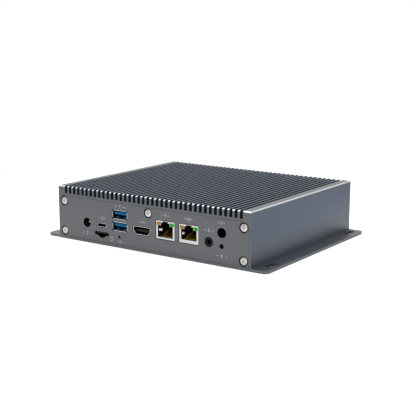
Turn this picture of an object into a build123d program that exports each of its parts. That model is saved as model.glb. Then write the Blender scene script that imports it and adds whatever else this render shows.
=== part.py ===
from build123d import *
import math
import os

# Fanless edge computer: a finned cover and two panels on a flanged base plate, with the boards inside.
# X runs along the front from left to right, Y from the front panel to the rear one, Z up.
# The origin is on the underside, at the middle of the footprint. All sizes are in millimetres.

# Heights, stacked from the surface that the base plate stands on up to the fin tips
BASE_THICKNESS = 2.0
STANDOFF_HEIGHT = 8.1
BOARD_THICKNESS = 1.6
HEADROOM = 20.6
ROOF_THICKNESS = 1.6
FIN_HEIGHT = 5.4

# Depths, stacked from the front panel to the rear one
PANEL_THICKNESS = 2.0
BOARD_FRONT_GAP = 0.5
BOARD_DEPTH = 120.0
BOARD_REAR_GAP = 16.5

# Cover
COVER_WALL = 1.4
GROOVE_WIDTH = 2.4
FIN_THICKNESS = 1.6
LEAST_SIDE_RAIL = 6.3
EDGE_CHAMFER = 0.8
BOSS_RADIUS = 3.4
THREAD_DEPTH = 10.0

# Base plate
FLANGE_WIDTH = 12.0
FLANGE_CORNER_RADIUS = 3.5
KEYHOLE_HEAD_RADIUS = 3.5
KEYHOLE_SLOT_RADIUS = 2.2
KEYHOLE_SLIDE = 6.0
KEYHOLE_END_INSET = 13.5
KEYHOLE_SIDE_INSET = 5.75
BASE_SCREW_SPACING = 45.0

# Panels
PANEL_CORNER_RADIUS = 3.4
PANEL_CLEARANCE = 0.2
COUNTERBORE_DEPTH = 1.2
COUNTERBORE_LAND = 0.4
CUTOUT_GAP = 0.5
ANTENNA_HOLE_RADIUS = 3.5
ANTENNA_FLAT_DROP = 3.2
ANTENNA_RISE = 10.8

# Screws
SCREW_RADIUS = 1.5
SCREW_HEAD_RADIUS = 2.75
SCREW_HEAD_HEIGHT = 1.5
HEAD_CLEARANCE = 0.75
HOLE_CLEARANCE = 0.1
THREAD_CLEARANCE = 0.04
PANEL_SCREW_LENGTH = 8.0
BASE_SCREW_LENGTH = 7.0
BOARD_SCREW_LENGTH = 6.0
COUNTERSUNK_HEIGHT = 1.3
SCREW_SIDES = 8
HEAD_SIDES = 12
ROUND_SIDES = 20

# Clear gaps along the front, from the left side to the right side
POWER_JACK_INSET = 27.4
JACK_TO_SMALL_GAP = 3.35
CARD_TO_DATA_GAP = 2.95
DATA_TO_VIDEO_GAP = 5.4
VIDEO_TO_NETWORK_GAP = 5.05
NETWORK_GAP = 4.0
NETWORK_TO_AUDIO_GAP = 4.7
AUDIO_TO_LIGHT_GAP = 4.1
LIGHT_INSET = 22.5

# Sockets behind the front panel
SOCKET_SETBACK = 0.2
SOCKET_FIT = 0.05
TERMINAL_PLAY = 0.15

# Power jack, sunk into a notch of the board
JACK_WIDTH = 9.0
JACK_HEIGHT = 9.0
JACK_DEPTH = 14.0
JACK_AXIS_RISE = 3.0
JACK_WING_WIDTH = 1.7
JACK_WING_HEIGHT = 1.2
JACK_MOUTH_RADIUS = 3.5
JACK_BORE_RADIUS = 3.1
JACK_BORE_DEPTH = 9.5
JACK_PIN_RADIUS = 1.05
JACK_PIN_ROOT = 3.0
JACK_PIN_SETBACK = 0.3

# Small data socket, on a riser
SMALL_WIDTH = 8.9
SMALL_TOP_WIDTH = 7.2
SMALL_HEIGHT = 3.0
SMALL_SHOULDER = 1.5
SMALL_SHEET = 0.3
SMALL_RISE = 1.3
SMALL_DEPTH = 8.0
SMALL_TONGUE_WIDTH = 4.0
SMALL_TONGUE_HEIGHT = 0.7

# Memory card socket, under the board
CARD_SOCKET_WIDTH = 14.0
CARD_SOCKET_HEIGHT = 1.9
CARD_SOCKET_DEPTH = 15.0
CARD_BASE_THICKNESS = 0.6
CARD_SHEET = 0.25
CARD_SLOT_WIDTH = 13.6
CARD_SLOT_HEIGHT = 2.6
CARD_SLOT_DROP = 1.8
THUMB_NOTCH_WIDTH = 7.7
THUMB_NOTCH_DEPTH = 1.9

# Two stacked data sockets in one shield
DATA_BAY_WIDTH = 12.6
DATA_BAY_HEIGHT = 5.1
DATA_BAY_RISE = 3.6
DATA_BAY_PITCH = 8.5
DATA_SHEET = 0.35
DATA_SIDE_FLARE = 0.15
DATA_FLARE = 0.45
DATA_FLARE_DEPTH = 1.2
DATA_CUTOUT_GAP = 0.2
DATA_DEPTH = 17.0
DATA_MOUTH_DEPTH = 9.0
DATA_TONGUE_WIDTH = 11.1
DATA_TONGUE_HEIGHT = 1.9
DATA_TONGUE_DROP = 0.65
DATA_TONGUE_SETBACK = 1.2
DATA_BACK_THICKNESS = 1.0
DATA_FLOOR_RIB_WIDTH = 1.3
DATA_FLOOR_RIB_HEIGHT = 0.9
DATA_FLOOR_RIB_SPACING = 6.4

# Video socket
VIDEO_WIDTH = 15.0
VIDEO_HEIGHT = 6.0
VIDEO_CHAMFER_WIDTH = 2.5
VIDEO_CHAMFER_HEIGHT = 2.6
VIDEO_SHEET = 0.35
VIDEO_RISE = 0.3
VIDEO_DEPTH = 11.0
VIDEO_MOUTH_DEPTH = 7.5
VIDEO_TONGUE_WIDTH = 11.4
VIDEO_TONGUE_HEIGHT = 1.5
VIDEO_TONGUE_SETBACK = 1.0

# Network sockets
NETWORK_WIDTH = 15.7
NETWORK_HEIGHT = 12.7
NETWORK_DEPTH = 16.5
NETWORK_SHEET = 0.3
NETWORK_MOUTH_WIDTH = 12.8
NETWORK_MOUTH_TOP_RISE = 9.4
NETWORK_FLOOR_RISES = [1.3, 2.2]
NETWORK_LATCH_WIDTH = 7.5
NETWORK_LATCH_HEIGHT = 2.1
NETWORK_KEY_WIDTH = 4.6
NETWORK_KEY_HEIGHT = 0.9
NETWORK_CAVITY_DEPTH = 13.5
NETWORK_LIGHT_WIDTH = 3.1
NETWORK_LIGHT_HEIGHT = 2.1
NETWORK_LIGHT_DROP = 1.0
NETWORK_LIGHT_DEPTH = 12.0
NETWORK_LIGHT_SPACING = 11.3
CONTACT_COUNT = 8
CONTACT_PITCH = 1.02
CONTACT_WIDTH = 0.45
CONTACT_HEIGHT = 0.3
CONTACT_SETBACK = 3.9
CONTACT_SLOPE = 22.0
SHIELD_SPRING_ROOM = 0.6
SHIELD_SPRING_HEIGHT = 2.4
SHIELD_SPRING_DEPTH = 5.0

# Audio socket
AUDIO_WIDTH = 7.6
AUDIO_HEIGHT = 7.0
AUDIO_DEPTH = 12.0
AUDIO_NOSE_RADIUS = 3.4
AUDIO_BORE_RADIUS = 1.8
AUDIO_BORE_DEPTH = 13.0

# Power light
LIGHT_LENS_RADIUS = 1.5
LIGHT_FLANGE_RADIUS = 1.75
LIGHT_FLANGE_THICKNESS = 1.0
LIGHT_HOLDER_WIDTH = 4.6
LIGHT_HOLDER_DEPTH = 5.0
LIGHT_AXIS_RISE = 1.85
LIGHT_SETBACK = 1.2
LIGHT_HOLE_RADIUS = 1.7

# Recovery switch, under the board behind its pinhole
PINHOLE_RADIUS = 1.0
RECOVERY_OFFSET = -0.5
RECOVERY_WIDTH = 6.0
RECOVERY_HEIGHT = 4.4
RECOVERY_DEPTH = 3.6
RECOVERY_AXIS_DROP = 2.25
RECOVERY_BUTTON_RADIUS = 0.9
RECOVERY_BUTTON_REACH = 1.0
RECOVERY_BUTTON_ROOT = 1.6
RECOVERY_TRAVEL = 0.25
RECOVERY_GAP = 0.5

# Compute module and its heat path
MODULE_THICKNESS = 1.2
MODULE_STANDOFF_HEIGHT = 5.0
MODULE_SOCKET_END = 1.7
MODULE_SOCKET_DEPTH = 7.5
MODULE_SOCKET_LIP = 1.8
MODULE_EDGE_DEPTH = 3.5
SOCKET_TO_MODULE_SOCKET_GAP = 12.5
PROCESSOR_SIZE = 24.0
PROCESSOR_THICKNESS = 0.8
DIE_SIZE = 13.0
DIE_THICKNESS = 0.7
PROCESSOR_PAD_THICKNESS = 0.6
MEMORY_WIDTH = 10.0
MEMORY_DEPTH = 14.0
MEMORY_THICKNESS = 0.9
MEMORY_GAP = 1.4
MEMORY_PER_SIDE = 2
HEAT_BLOCK_WIDTH = 46.0
HEAT_BLOCK_DEPTH = 39.0
HEAT_BLOCK_RAIL_GAP = 3.0
HEAT_BLOCK_FRONT_MARGIN = 5.5
HEAT_BLOCK_REAR_MARGIN = 0.5
COVER_PAD_THICKNESS = 1.0
COVER_PAD_MARGIN = 1.0
POST_RADIUS = 2.8
BLOCK_SCREW_RADIUS = 1.25
BLOCK_SCREW_HEAD_RADIUS = 2.2
BLOCK_SCREW_HEAD_HEIGHT = 1.6
BLOCK_SCREW_SINK = 2.4
BLOCK_SCREW_BITE = 3.5

# Other pieces on the board
BOARD_CORNER = 1.2
BOARD_SIDE_GAP = 0.6
BOARD_HOLE_INSET = 5.0
STANDOFF_WIDTH = 5.5
STANDOFF_SHANK_RADIUS = 2.1
STANDOFF_SHANK_LENGTH = 1.5
PART_GAP = 3.0
TRANSFORMER_WIDTH = 15.2
TRANSFORMER_DEPTH = 7.2
TRANSFORMER_HEIGHT = 5.0
TRANSFORMER_GAP = 2.0
INDUCTOR_COUNT = 3
INDUCTOR_SIZE = 7.0
INDUCTOR_HEIGHT = 4.2
INDUCTOR_CORNER = 1.2
CAPACITOR_COUNT = 4
CAPACITOR_RADIUS = 3.15
CAPACITOR_HEIGHT = 7.7
CAPACITOR_FOOT_HEIGHT = 0.9
CELL_RADIUS = 10.0
CELL_HEIGHT = 3.2
CELL_HOLDER_WALL = 1.6
CELL_HOLDER_HEIGHT = 4.6
CELL_HOLDER_FLOOR = 0.8
CARD_EDGE_SOCKET_WIDTH = 22.0
CARD_EDGE_SOCKET_DEPTH = 8.6
CARD_EDGE_SOCKET_HEIGHT = 4.1
CARD_EDGE_SLOT_WIDTH = 20.0
CARD_EDGE_SLOT_HEIGHT = 0.9
CARD_EDGE_SLOT_DEPTH = 5.0
CARD_EDGE_POST_REACH = 27.0
CARD_EDGE_POST_RADIUS = 2.5

# Levels and faces that follow from the sizes above
BASE_TOP = BASE_THICKNESS
BOARD_BOTTOM = BASE_TOP + STANDOFF_HEIGHT
BOARD_TOP = BOARD_BOTTOM + BOARD_THICKNESS
CEILING = BOARD_TOP + HEADROOM
GROOVE_FLOOR = CEILING + ROOF_THICKNESS
COVER_TOP = GROOVE_FLOOR + FIN_HEIGHT
BODY_DEPTH = 2 * PANEL_THICKNESS + BOARD_FRONT_GAP + BOARD_DEPTH + BOARD_REAR_GAP
FRONT_Y = -BODY_DEPTH / 2
PANEL_BACK_Y = FRONT_Y + PANEL_THICKNESS
BOARD_FRONT_Y = PANEL_BACK_Y + BOARD_FRONT_GAP
BOARD_REAR_Y = BOARD_FRONT_Y + BOARD_DEPTH
SOCKET_FRONT_Y = FRONT_Y + SOCKET_SETBACK

# Distances of the socket axes from the left side, then from the middle
DATA_WIDTH = DATA_BAY_WIDTH + 2 * (DATA_SHEET + DATA_SIDE_FLARE)
SMALL_FROM_LEFT = POWER_JACK_INSET + JACK_WIDTH / 2 + JACK_WING_WIDTH + JACK_TO_SMALL_GAP + SMALL_WIDTH / 2
DATA_FROM_LEFT = SMALL_FROM_LEFT + CARD_SOCKET_WIDTH / 2 + CARD_TO_DATA_GAP + DATA_WIDTH / 2
VIDEO_FROM_LEFT = DATA_FROM_LEFT + DATA_WIDTH / 2 + DATA_TO_VIDEO_GAP + VIDEO_WIDTH / 2
NETWORK_FROM_LEFT = VIDEO_FROM_LEFT + VIDEO_WIDTH / 2 + VIDEO_TO_NETWORK_GAP + NETWORK_WIDTH / 2
NETWORK_PITCH = NETWORK_WIDTH + NETWORK_GAP
NETWORK_END = NETWORK_FROM_LEFT + NETWORK_PITCH + NETWORK_WIDTH / 2
AUDIO_FROM_LEFT = NETWORK_END + NETWORK_TO_AUDIO_GAP + AUDIO_WIDTH / 2
LIGHT_FROM_LEFT = AUDIO_FROM_LEFT + AUDIO_WIDTH / 2 + AUDIO_TO_LIGHT_GAP + LIGHT_HOLDER_WIDTH / 2
BODY_WIDTH = LIGHT_FROM_LEFT + LIGHT_INSET
JACK_X = POWER_JACK_INSET - BODY_WIDTH / 2
SMALL_X = SMALL_FROM_LEFT - BODY_WIDTH / 2
DATA_X = DATA_FROM_LEFT - BODY_WIDTH / 2
VIDEO_X = VIDEO_FROM_LEFT - BODY_WIDTH / 2
NETWORK_XS = [NETWORK_FROM_LEFT + port * NETWORK_PITCH - BODY_WIDTH / 2 for port in range(2)]
AUDIO_X = AUDIO_FROM_LEFT - BODY_WIDTH / 2
LIGHT_X = LIGHT_FROM_LEFT - BODY_WIDTH / 2
RECOVERY_X = DATA_X + RECOVERY_OFFSET

# Axis heights of the sockets
JACK_Z = BOARD_TOP + JACK_AXIS_RISE
CARD_SLOT_Z = BOARD_BOTTOM - CARD_SLOT_DROP
DATA_ZS = [BOARD_TOP + DATA_BAY_RISE + bay * DATA_BAY_PITCH for bay in range(2)]
NETWORK_TOP = BOARD_TOP + NETWORK_HEIGHT
NETWORK_FLOORS = [BOARD_TOP + rise for rise in NETWORK_FLOOR_RISES]
NETWORK_MOUTH_TOP = BOARD_TOP + NETWORK_MOUTH_TOP_RISE
AUDIO_Z = BOARD_TOP + AUDIO_HEIGHT / 2
LIGHT_Z = BOARD_TOP + LIGHT_AXIS_RISE
ANTENNA_Z = BOARD_TOP + ANTENNA_RISE
RECOVERY_Z = BOARD_BOTTOM - RECOVERY_AXIS_DROP

# Screw axes of a panel: two lower corners, then two upper corners and the middle
COUNTERBORE_RADIUS = SCREW_HEAD_RADIUS + HEAD_CLEARANCE
SCREW_MARGIN = PANEL_CLEARANCE + COUNTERBORE_LAND + COUNTERBORE_RADIUS
SCREW_X = BODY_WIDTH / 2 - COVER_WALL - SCREW_MARGIN
LOWER_SCREW_Z = BASE_TOP + SCREW_MARGIN
UPPER_SCREW_Z = CEILING - SCREW_MARGIN
LOWER_SCREWS = [(-SCREW_X, LOWER_SCREW_Z), (SCREW_X, LOWER_SCREW_Z)]
UPPER_SCREWS = [(-SCREW_X, UPPER_SCREW_Z), (0.0, UPPER_SCREW_Z), (SCREW_X, UPPER_SCREW_Z)]
PANEL_SCREWS = LOWER_SCREWS + UPPER_SCREWS

# Board outline, clear of the lower screw rails
BOARD_HALF_WIDTH = SCREW_X - BOSS_RADIUS - BOARD_SIDE_GAP
BOARD_HOLES = [
    (side * (BOARD_HALF_WIDTH - BOARD_HOLE_INSET), y)
    for side in (-1, 1)
    for y in (
        BOARD_FRONT_Y + BOARD_HOLE_INSET,
        (BOARD_FRONT_Y + BOARD_REAR_Y) / 2,
        BOARD_REAR_Y - BOARD_HOLE_INSET,
    )
]
BASE_SCREWS = [(side * SCREW_X, row * BASE_SCREW_SPACING) for side in (-1, 1) for row in (-1, 0, 1)]

# Module, its socket and the heat block over it
MODULE_WIDTH = PROCESSOR_SIZE + 2 * MEMORY_PER_SIDE * (MEMORY_GAP + MEMORY_WIDTH)
MODULE_DEPTH = HEAT_BLOCK_FRONT_MARGIN + HEAT_BLOCK_DEPTH + HEAT_BLOCK_REAR_MARGIN
MODULE_SOCKET_WIDTH = MODULE_WIDTH + 2 * MODULE_SOCKET_END
MODULE_SOCKET_Y = SOCKET_FRONT_Y + NETWORK_DEPTH + SOCKET_TO_MODULE_SOCKET_GAP
MODULE_FRONT_Y = MODULE_SOCKET_Y + MODULE_SOCKET_DEPTH - MODULE_EDGE_DEPTH
MODULE_REAR_Y = MODULE_FRONT_Y + MODULE_DEPTH
MODULE_BOTTOM = BOARD_TOP + MODULE_STANDOFF_HEIGHT
MODULE_TOP = MODULE_BOTTOM + MODULE_THICKNESS
BLOCK_X = BOSS_RADIUS + HEAT_BLOCK_RAIL_GAP + HEAT_BLOCK_WIDTH / 2
BLOCK_Y = MODULE_REAR_Y - HEAT_BLOCK_REAR_MARGIN - HEAT_BLOCK_DEPTH / 2
BLOCK_BOTTOM = MODULE_TOP + PROCESSOR_THICKNESS + DIE_THICKNESS + PROCESSOR_PAD_THICKNESS
BLOCK_TOP = CEILING - COVER_PAD_THICKNESS
BLOCK_POSTS = [
    (
        BLOCK_X + side * (HEAT_BLOCK_WIDTH / 2 - POST_RADIUS),
        BLOCK_Y + end * (HEAT_BLOCK_DEPTH / 2 - POST_RADIUS),
    )
    for side in (-1, 1)
    for end in (-1, 1)
]

MARGIN = 1.0


def span(centre, width):
    """Low and high limits of a width laid evenly about a centre."""
    return centre - width / 2, centre + width / 2


def run(start, length):
    """Low and high limits of a length that begins at a start."""
    return start, start + length


def block(x, y, z):
    """Box between its low and high limits on each axis."""
    sizes = [high - low for low, high in (x, y, z)]
    middles = [(high + low) / 2 for low, high in (x, y, z)]
    return Pos(*middles) * Box(*sizes)


def patch(x, z):
    """Rectangle between its limits, in a section drawn in X and Z."""
    return Pos((x[0] + x[1]) / 2, (z[0] + z[1]) / 2) * Rectangle(abs(x[1] - x[0]), abs(z[1] - z[0]))


def along_x(section, x):
    """Solid of a section drawn in Y and Z, between two limits on X."""
    plane = Plane(origin=(x[0], 0, 0), x_dir=(0, 1, 0), z_dir=(1, 0, 0))
    return extrude(plane * section, amount=x[1] - x[0], dir=(1, 0, 0))


def along_y(section, y):
    """Solid of a section drawn in X and Z, between two limits on Y."""
    plane = Plane(origin=(0, y[0], 0), x_dir=(1, 0, 0), z_dir=(0, -1, 0))
    return extrude(plane * section, amount=y[1] - y[0], dir=(0, 1, 0))


def along_z(section, z):
    """Solid of a section drawn in X and Y, between two limits on Z."""
    return extrude(Pos(0, 0, z[0]) * section, amount=z[1] - z[0], dir=(0, 0, 1))


def round_y(x, z, radius, y):
    """Round bar along Y about the axis at X and Z."""
    return along_y(Pos(x, z) * Circle(radius), y)


def prism_y(x, z, radius, y, sides=SCREW_SIDES):
    """Many-sided bar along Y, measured to its flats. It keeps the faces of what repeats few."""
    return along_y(Pos(x, z) * RegularPolygon(radius, sides, major_radius=False), y)


def prism_z(x, y, radius, z, sides=SCREW_SIDES):
    """Many-sided bar along Z, measured to its flats."""
    return along_z(Pos(x, y) * RegularPolygon(radius, sides, major_radius=False), z)


def save(node, *shapes):
    """Write the solids of one node to its own file."""
    solids = [solid for shape in shapes for solid in shape.solids()]
    export_step(Compound(solids), f"parts/{node}.step")


def pan_screw(radius, head_radius, head_height, length):
    """Screw that points down, with its head's seat at the origin."""
    head = prism_z(0, 0, head_radius, (0, head_height), HEAD_SIDES)
    head = chamfer(head.edges().group_by(Axis.Z)[-1], head_height * 0.4)
    return head + prism_z(0, 0, radius, (-length, 0))


def countersunk_screw(length):
    """Flat-headed screw that points up, with the face of its head at the origin."""
    return countersink(0) + prism_z(0, 0, SCREW_RADIUS, (COUNTERSUNK_HEIGHT / 2, length))


def countersink(clearance):
    """Cone of a flat screw head, which narrows upwards to the shank."""
    slope = math.degrees(math.atan((SCREW_HEAD_RADIUS - SCREW_RADIUS) / COUNTERSUNK_HEIGHT))
    rim = RegularPolygon(SCREW_HEAD_RADIUS + clearance, SCREW_SIDES, major_radius=False)
    return extrude(rim, amount=COUNTERSUNK_HEIGHT, taper=slope)


def screw_rail(x, z, anchor_z):
    """Section of a rib about one screw axis, joined to the wall beside it and to its roof or foot."""
    if x == 0:
        side, wall_x = 1, BOSS_RADIUS
    else:
        side = math.copysign(1, x)
        wall_x = side * (BODY_WIDTH - COVER_WALL) / 2
    rib = Pos(x, z) * Circle(BOSS_RADIUS)
    rib += patch((x - side * BOSS_RADIUS, wall_x), (z, anchor_z))
    if x != 0:
        rib += patch((x, wall_x), span(z, 2 * BOSS_RADIUS))
    return rib


def panel_outline(clearance):
    """Outline that fits the cover's mouth, square at the foot and rounded at the top corners."""
    half_width = BODY_WIDTH / 2 - COVER_WALL - clearance
    outline = patch((-half_width, half_width), (BASE_TOP + clearance, CEILING - clearance))
    top_corners = outline.vertices().group_by(Axis.Y)[-1]
    return fillet(top_corners, PANEL_CORNER_RADIUS + PANEL_CLEARANCE - clearance)


def make_heatsink_cover():
    """Extruded cover: side walls, screw rails, roof and a full row of fins between two side rails."""
    half_width = BODY_WIDTH / 2
    pitch = GROOVE_WIDTH + FIN_THICKNESS
    groove_room = BODY_WIDTH - 2 * LEAST_SIDE_RAIL + FIN_THICKNESS
    groove_count = int(groove_room / pitch + 1e-6)
    section = Polygon(
        (-half_width, BASE_TOP),
        (half_width, BASE_TOP),
        (half_width, COVER_TOP - EDGE_CHAMFER),
        (half_width - EDGE_CHAMFER, COVER_TOP),
        (EDGE_CHAMFER - half_width, COVER_TOP),
        (-half_width, COVER_TOP - EDGE_CHAMFER),
        align=None,
    )
    section -= panel_outline(0)
    for index in range(groove_count):
        groove_x = (index - (groove_count - 1) / 2) * pitch
        section -= patch(span(groove_x, GROOVE_WIDTH), (GROOVE_FLOOR, COVER_TOP + MARGIN))
    for x, z in UPPER_SCREWS:
        section += screw_rail(x, z, CEILING + ROOF_THICKNESS / 2)
    for x, z in LOWER_SCREWS:
        section += screw_rail(x, z, BASE_TOP)
    cover = along_y(section, (FRONT_Y, -FRONT_Y))

    # Each end is milled back for its panel, drilled for its screws and bevelled over the fin ends
    drill_radius = SCREW_RADIUS + THREAD_CLEARANCE
    bevel = Polygon(
        (FRONT_Y - MARGIN, COVER_TOP - EDGE_CHAMFER - MARGIN),
        (FRONT_Y + EDGE_CHAMFER + MARGIN, COVER_TOP + MARGIN),
        (FRONT_Y - MARGIN, COVER_TOP + MARGIN),
        align=None,
    )
    end_cut = along_y(panel_outline(0), (FRONT_Y - MARGIN, PANEL_BACK_Y))
    end_cut += along_x(bevel, (-half_width - MARGIN, half_width + MARGIN))
    for x, z in PANEL_SCREWS:
        end_cut += prism_y(x, z, drill_radius, (PANEL_BACK_Y - MARGIN, PANEL_BACK_Y + THREAD_DEPTH))
    cover = cover - end_cut - mirror(end_cut, Plane.XZ)
    for x, y in BASE_SCREWS:
        cover -= prism_z(x, y, drill_radius, (BASE_TOP - MARGIN, BASE_SCREW_LENGTH + MARGIN))
    return cover


def keyhole(x, y):
    """Keyhole outline, its head at X and Y and its slot running back from it."""
    slot = Rot(0, 0, 90) * SlotCenterToCenter(KEYHOLE_SLIDE, 2 * KEYHOLE_SLOT_RADIUS)
    return Pos(x, y) * (Circle(KEYHOLE_HEAD_RADIUS) + Pos(0, KEYHOLE_SLIDE / 2) * slot)


def screw_hole(radius):
    """Outline of a hole that a screw or a shank fills."""
    return RegularPolygon(radius, SCREW_SIDES, major_radius=False)


def make_base_plate():
    """Flat base with a flange past each side wall, keyholes at its corners and holes for its screws."""
    outline = Rectangle(BODY_WIDTH + 2 * FLANGE_WIDTH, BODY_DEPTH)
    outline = fillet(outline.vertices(), FLANGE_CORNER_RADIUS)
    for side in (-1, 1):
        for y in (FRONT_Y + KEYHOLE_END_INSET, -FRONT_Y - KEYHOLE_END_INSET):
            outline -= keyhole(side * (BODY_WIDTH / 2 + KEYHOLE_SIDE_INSET), y)
    for x, y in BOARD_HOLES:
        outline -= Pos(x, y) * screw_hole(STANDOFF_SHANK_RADIUS + THREAD_CLEARANCE)
    plate = along_z(outline, (0, BASE_TOP))
    hole_radius = SCREW_RADIUS + HOLE_CLEARANCE
    shank_z = (COUNTERSUNK_HEIGHT / 2, BASE_TOP + MARGIN)
    sink = countersink(HOLE_CLEARANCE) + prism_z(0, 0, hole_radius, shank_z)
    for x, y in BASE_SCREWS:
        plate -= Pos(x, y, 0) * sink
    return plate


def make_panel(cuts):
    """Panel in the cover's front mouth, with five counterbored screw holes and any further cut-outs."""
    outline = panel_outline(PANEL_CLEARANCE)
    for x, z in PANEL_SCREWS:
        outline -= Pos(x, z) * screw_hole(SCREW_RADIUS + HOLE_CLEARANCE)
    for cut in cuts:
        outline -= cut
    panel = along_y(outline, (FRONT_Y, PANEL_BACK_Y))
    sink_y = (FRONT_Y - MARGIN, FRONT_Y + COUNTERBORE_DEPTH)
    for x, z in PANEL_SCREWS:
        panel -= prism_y(x, z, COUNTERBORE_RADIUS, sink_y, ROUND_SIDES)
    return panel


def card_slot_outline():
    """Slot for the memory card, with rounded ends and a thumb notch in its lower edge."""
    notch_radius = (THUMB_NOTCH_WIDTH**2 / 4 + THUMB_NOTCH_DEPTH**2) / (2 * THUMB_NOTCH_DEPTH)
    notch_z = CARD_SLOT_Z - CARD_SLOT_HEIGHT / 2 - THUMB_NOTCH_DEPTH + notch_radius
    below = patch(span(SMALL_X, THUMB_NOTCH_WIDTH), (CARD_SLOT_Z - CARD_SLOT_HEIGHT, CARD_SLOT_Z))
    below += patch(span(SMALL_X, 2 * notch_radius), (notch_z - notch_radius, CARD_SLOT_Z))
    notch = (Pos(SMALL_X, notch_z) * Circle(notch_radius)) & below
    return Pos(SMALL_X, CARD_SLOT_Z) * SlotOverall(CARD_SLOT_WIDTH, CARD_SLOT_HEIGHT) + notch


def small_outline(grow):
    """Outline of the small data socket, wide at its foot and narrower above its shoulder."""
    z = BOARD_TOP + SMALL_RISE
    corners = [
        (-SMALL_WIDTH / 2 - grow, z - grow),
        (SMALL_WIDTH / 2 + grow, z - grow),
        (SMALL_WIDTH / 2 + grow, z + SMALL_SHOULDER),
        (SMALL_TOP_WIDTH / 2 + grow, z + SMALL_HEIGHT + grow),
        (-SMALL_TOP_WIDTH / 2 - grow, z + SMALL_HEIGHT + grow),
        (-SMALL_WIDTH / 2 - grow, z + SMALL_SHOULDER),
    ]
    return Pos(SMALL_X, 0) * Polygon(*corners, align=None)


def video_outline(grow):
    """Outline of the video socket, with its two lower corners cut off."""
    z = BOARD_TOP + VIDEO_RISE
    foot = VIDEO_WIDTH / 2 - VIDEO_CHAMFER_WIDTH
    corners = [
        (-foot - grow / 2, z - grow),
        (foot + grow / 2, z - grow),
        (VIDEO_WIDTH / 2 + grow, z + VIDEO_CHAMFER_HEIGHT - grow / 2),
        (VIDEO_WIDTH / 2 + grow, z + VIDEO_HEIGHT + grow),
        (-VIDEO_WIDTH / 2 - grow, z + VIDEO_HEIGHT + grow),
        (-VIDEO_WIDTH / 2 - grow, z + VIDEO_CHAMFER_HEIGHT - grow / 2),
    ]
    return Pos(VIDEO_X, 0) * Polygon(*corners, align=None)


def antenna_outline():
    """Round antenna hole with a flat at its foot that stops the socket from turning."""
    circle = Pos(LIGHT_X, ANTENNA_Z) * Circle(ANTENNA_HOLE_RADIUS)
    above_flat = (ANTENNA_Z - ANTENNA_FLAT_DROP, ANTENNA_Z + ANTENNA_HOLE_RADIUS)
    return circle & patch(span(LIGHT_X, 2 * ANTENNA_HOLE_RADIUS), above_flat)


def make_front_panel():
    """Front panel with one cut-out for each socket, the antenna hole, the pinhole and the light hole."""
    cuts = [
        Pos(JACK_X, JACK_Z) * Circle(JACK_MOUTH_RADIUS),
        Pos(AUDIO_X, AUDIO_Z) * Circle(AUDIO_NOSE_RADIUS + HOLE_CLEARANCE),
        Pos(LIGHT_X, LIGHT_Z) * Circle(LIGHT_HOLE_RADIUS),
        Pos(RECOVERY_X, RECOVERY_Z) * Circle(PINHOLE_RADIUS),
        small_outline(CUTOUT_GAP),
        video_outline(CUTOUT_GAP),
        card_slot_outline(),
        antenna_outline(),
    ]
    bay_height = DATA_BAY_HEIGHT + 2 * (DATA_SHEET + DATA_FLARE + DATA_CUTOUT_GAP)
    for z in DATA_ZS:
        cuts.append(patch(span(DATA_X, DATA_WIDTH + 2 * DATA_CUTOUT_GAP), span(z, bay_height)))
    network_z = (BOARD_TOP - CUTOUT_GAP, NETWORK_TOP + CUTOUT_GAP)
    for x in NETWORK_XS:
        cutout = patch(span(x, NETWORK_WIDTH + 2 * CUTOUT_GAP), network_z)
        cuts.append(chamfer(cutout.vertices(), CUTOUT_GAP))
    return make_panel(cuts)


def make_main_board():
    """Main board with its mounting holes and the notch that the power jack sinks into."""
    middle_y = (BOARD_FRONT_Y + BOARD_REAR_Y) / 2
    outline = Rectangle(2 * BOARD_HALF_WIDTH, BOARD_DEPTH)
    outline = Pos(0, middle_y) * chamfer(outline.vertices(), BOARD_CORNER)
    for x, y in BOARD_HOLES:
        outline -= Pos(x, y) * screw_hole(SCREW_RADIUS + HOLE_CLEARANCE)
    notch_rear = PANEL_BACK_Y + JACK_DEPTH + CUTOUT_GAP
    outline -= patch(span(JACK_X, JACK_WIDTH + 2 * CUTOUT_GAP), (BOARD_FRONT_Y - MARGIN, notch_rear))
    return along_z(outline, (BOARD_BOTTOM, BOARD_TOP))


def hexagon_post(x, y, width, z):
    """Six-sided post along Z, measured across its flats."""
    return prism_z(x, y, width / 2, z, 6)


def make_standoff(x, y):
    """Pressed-in standoff: a shank in the base plate, a hexagon above it and a threaded hole."""
    post = hexagon_post(x, y, STANDOFF_WIDTH, (BASE_TOP, BOARD_BOTTOM))
    post += prism_z(x, y, STANDOFF_SHANK_RADIUS, (BASE_TOP - STANDOFF_SHANK_LENGTH, BASE_TOP + MARGIN))
    bore_bottom = BOARD_TOP - BOARD_SCREW_LENGTH - MARGIN
    return post - prism_z(x, y, SCREW_RADIUS + THREAD_CLEARANCE, (bore_bottom, BOARD_BOTTOM + MARGIN))


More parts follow.
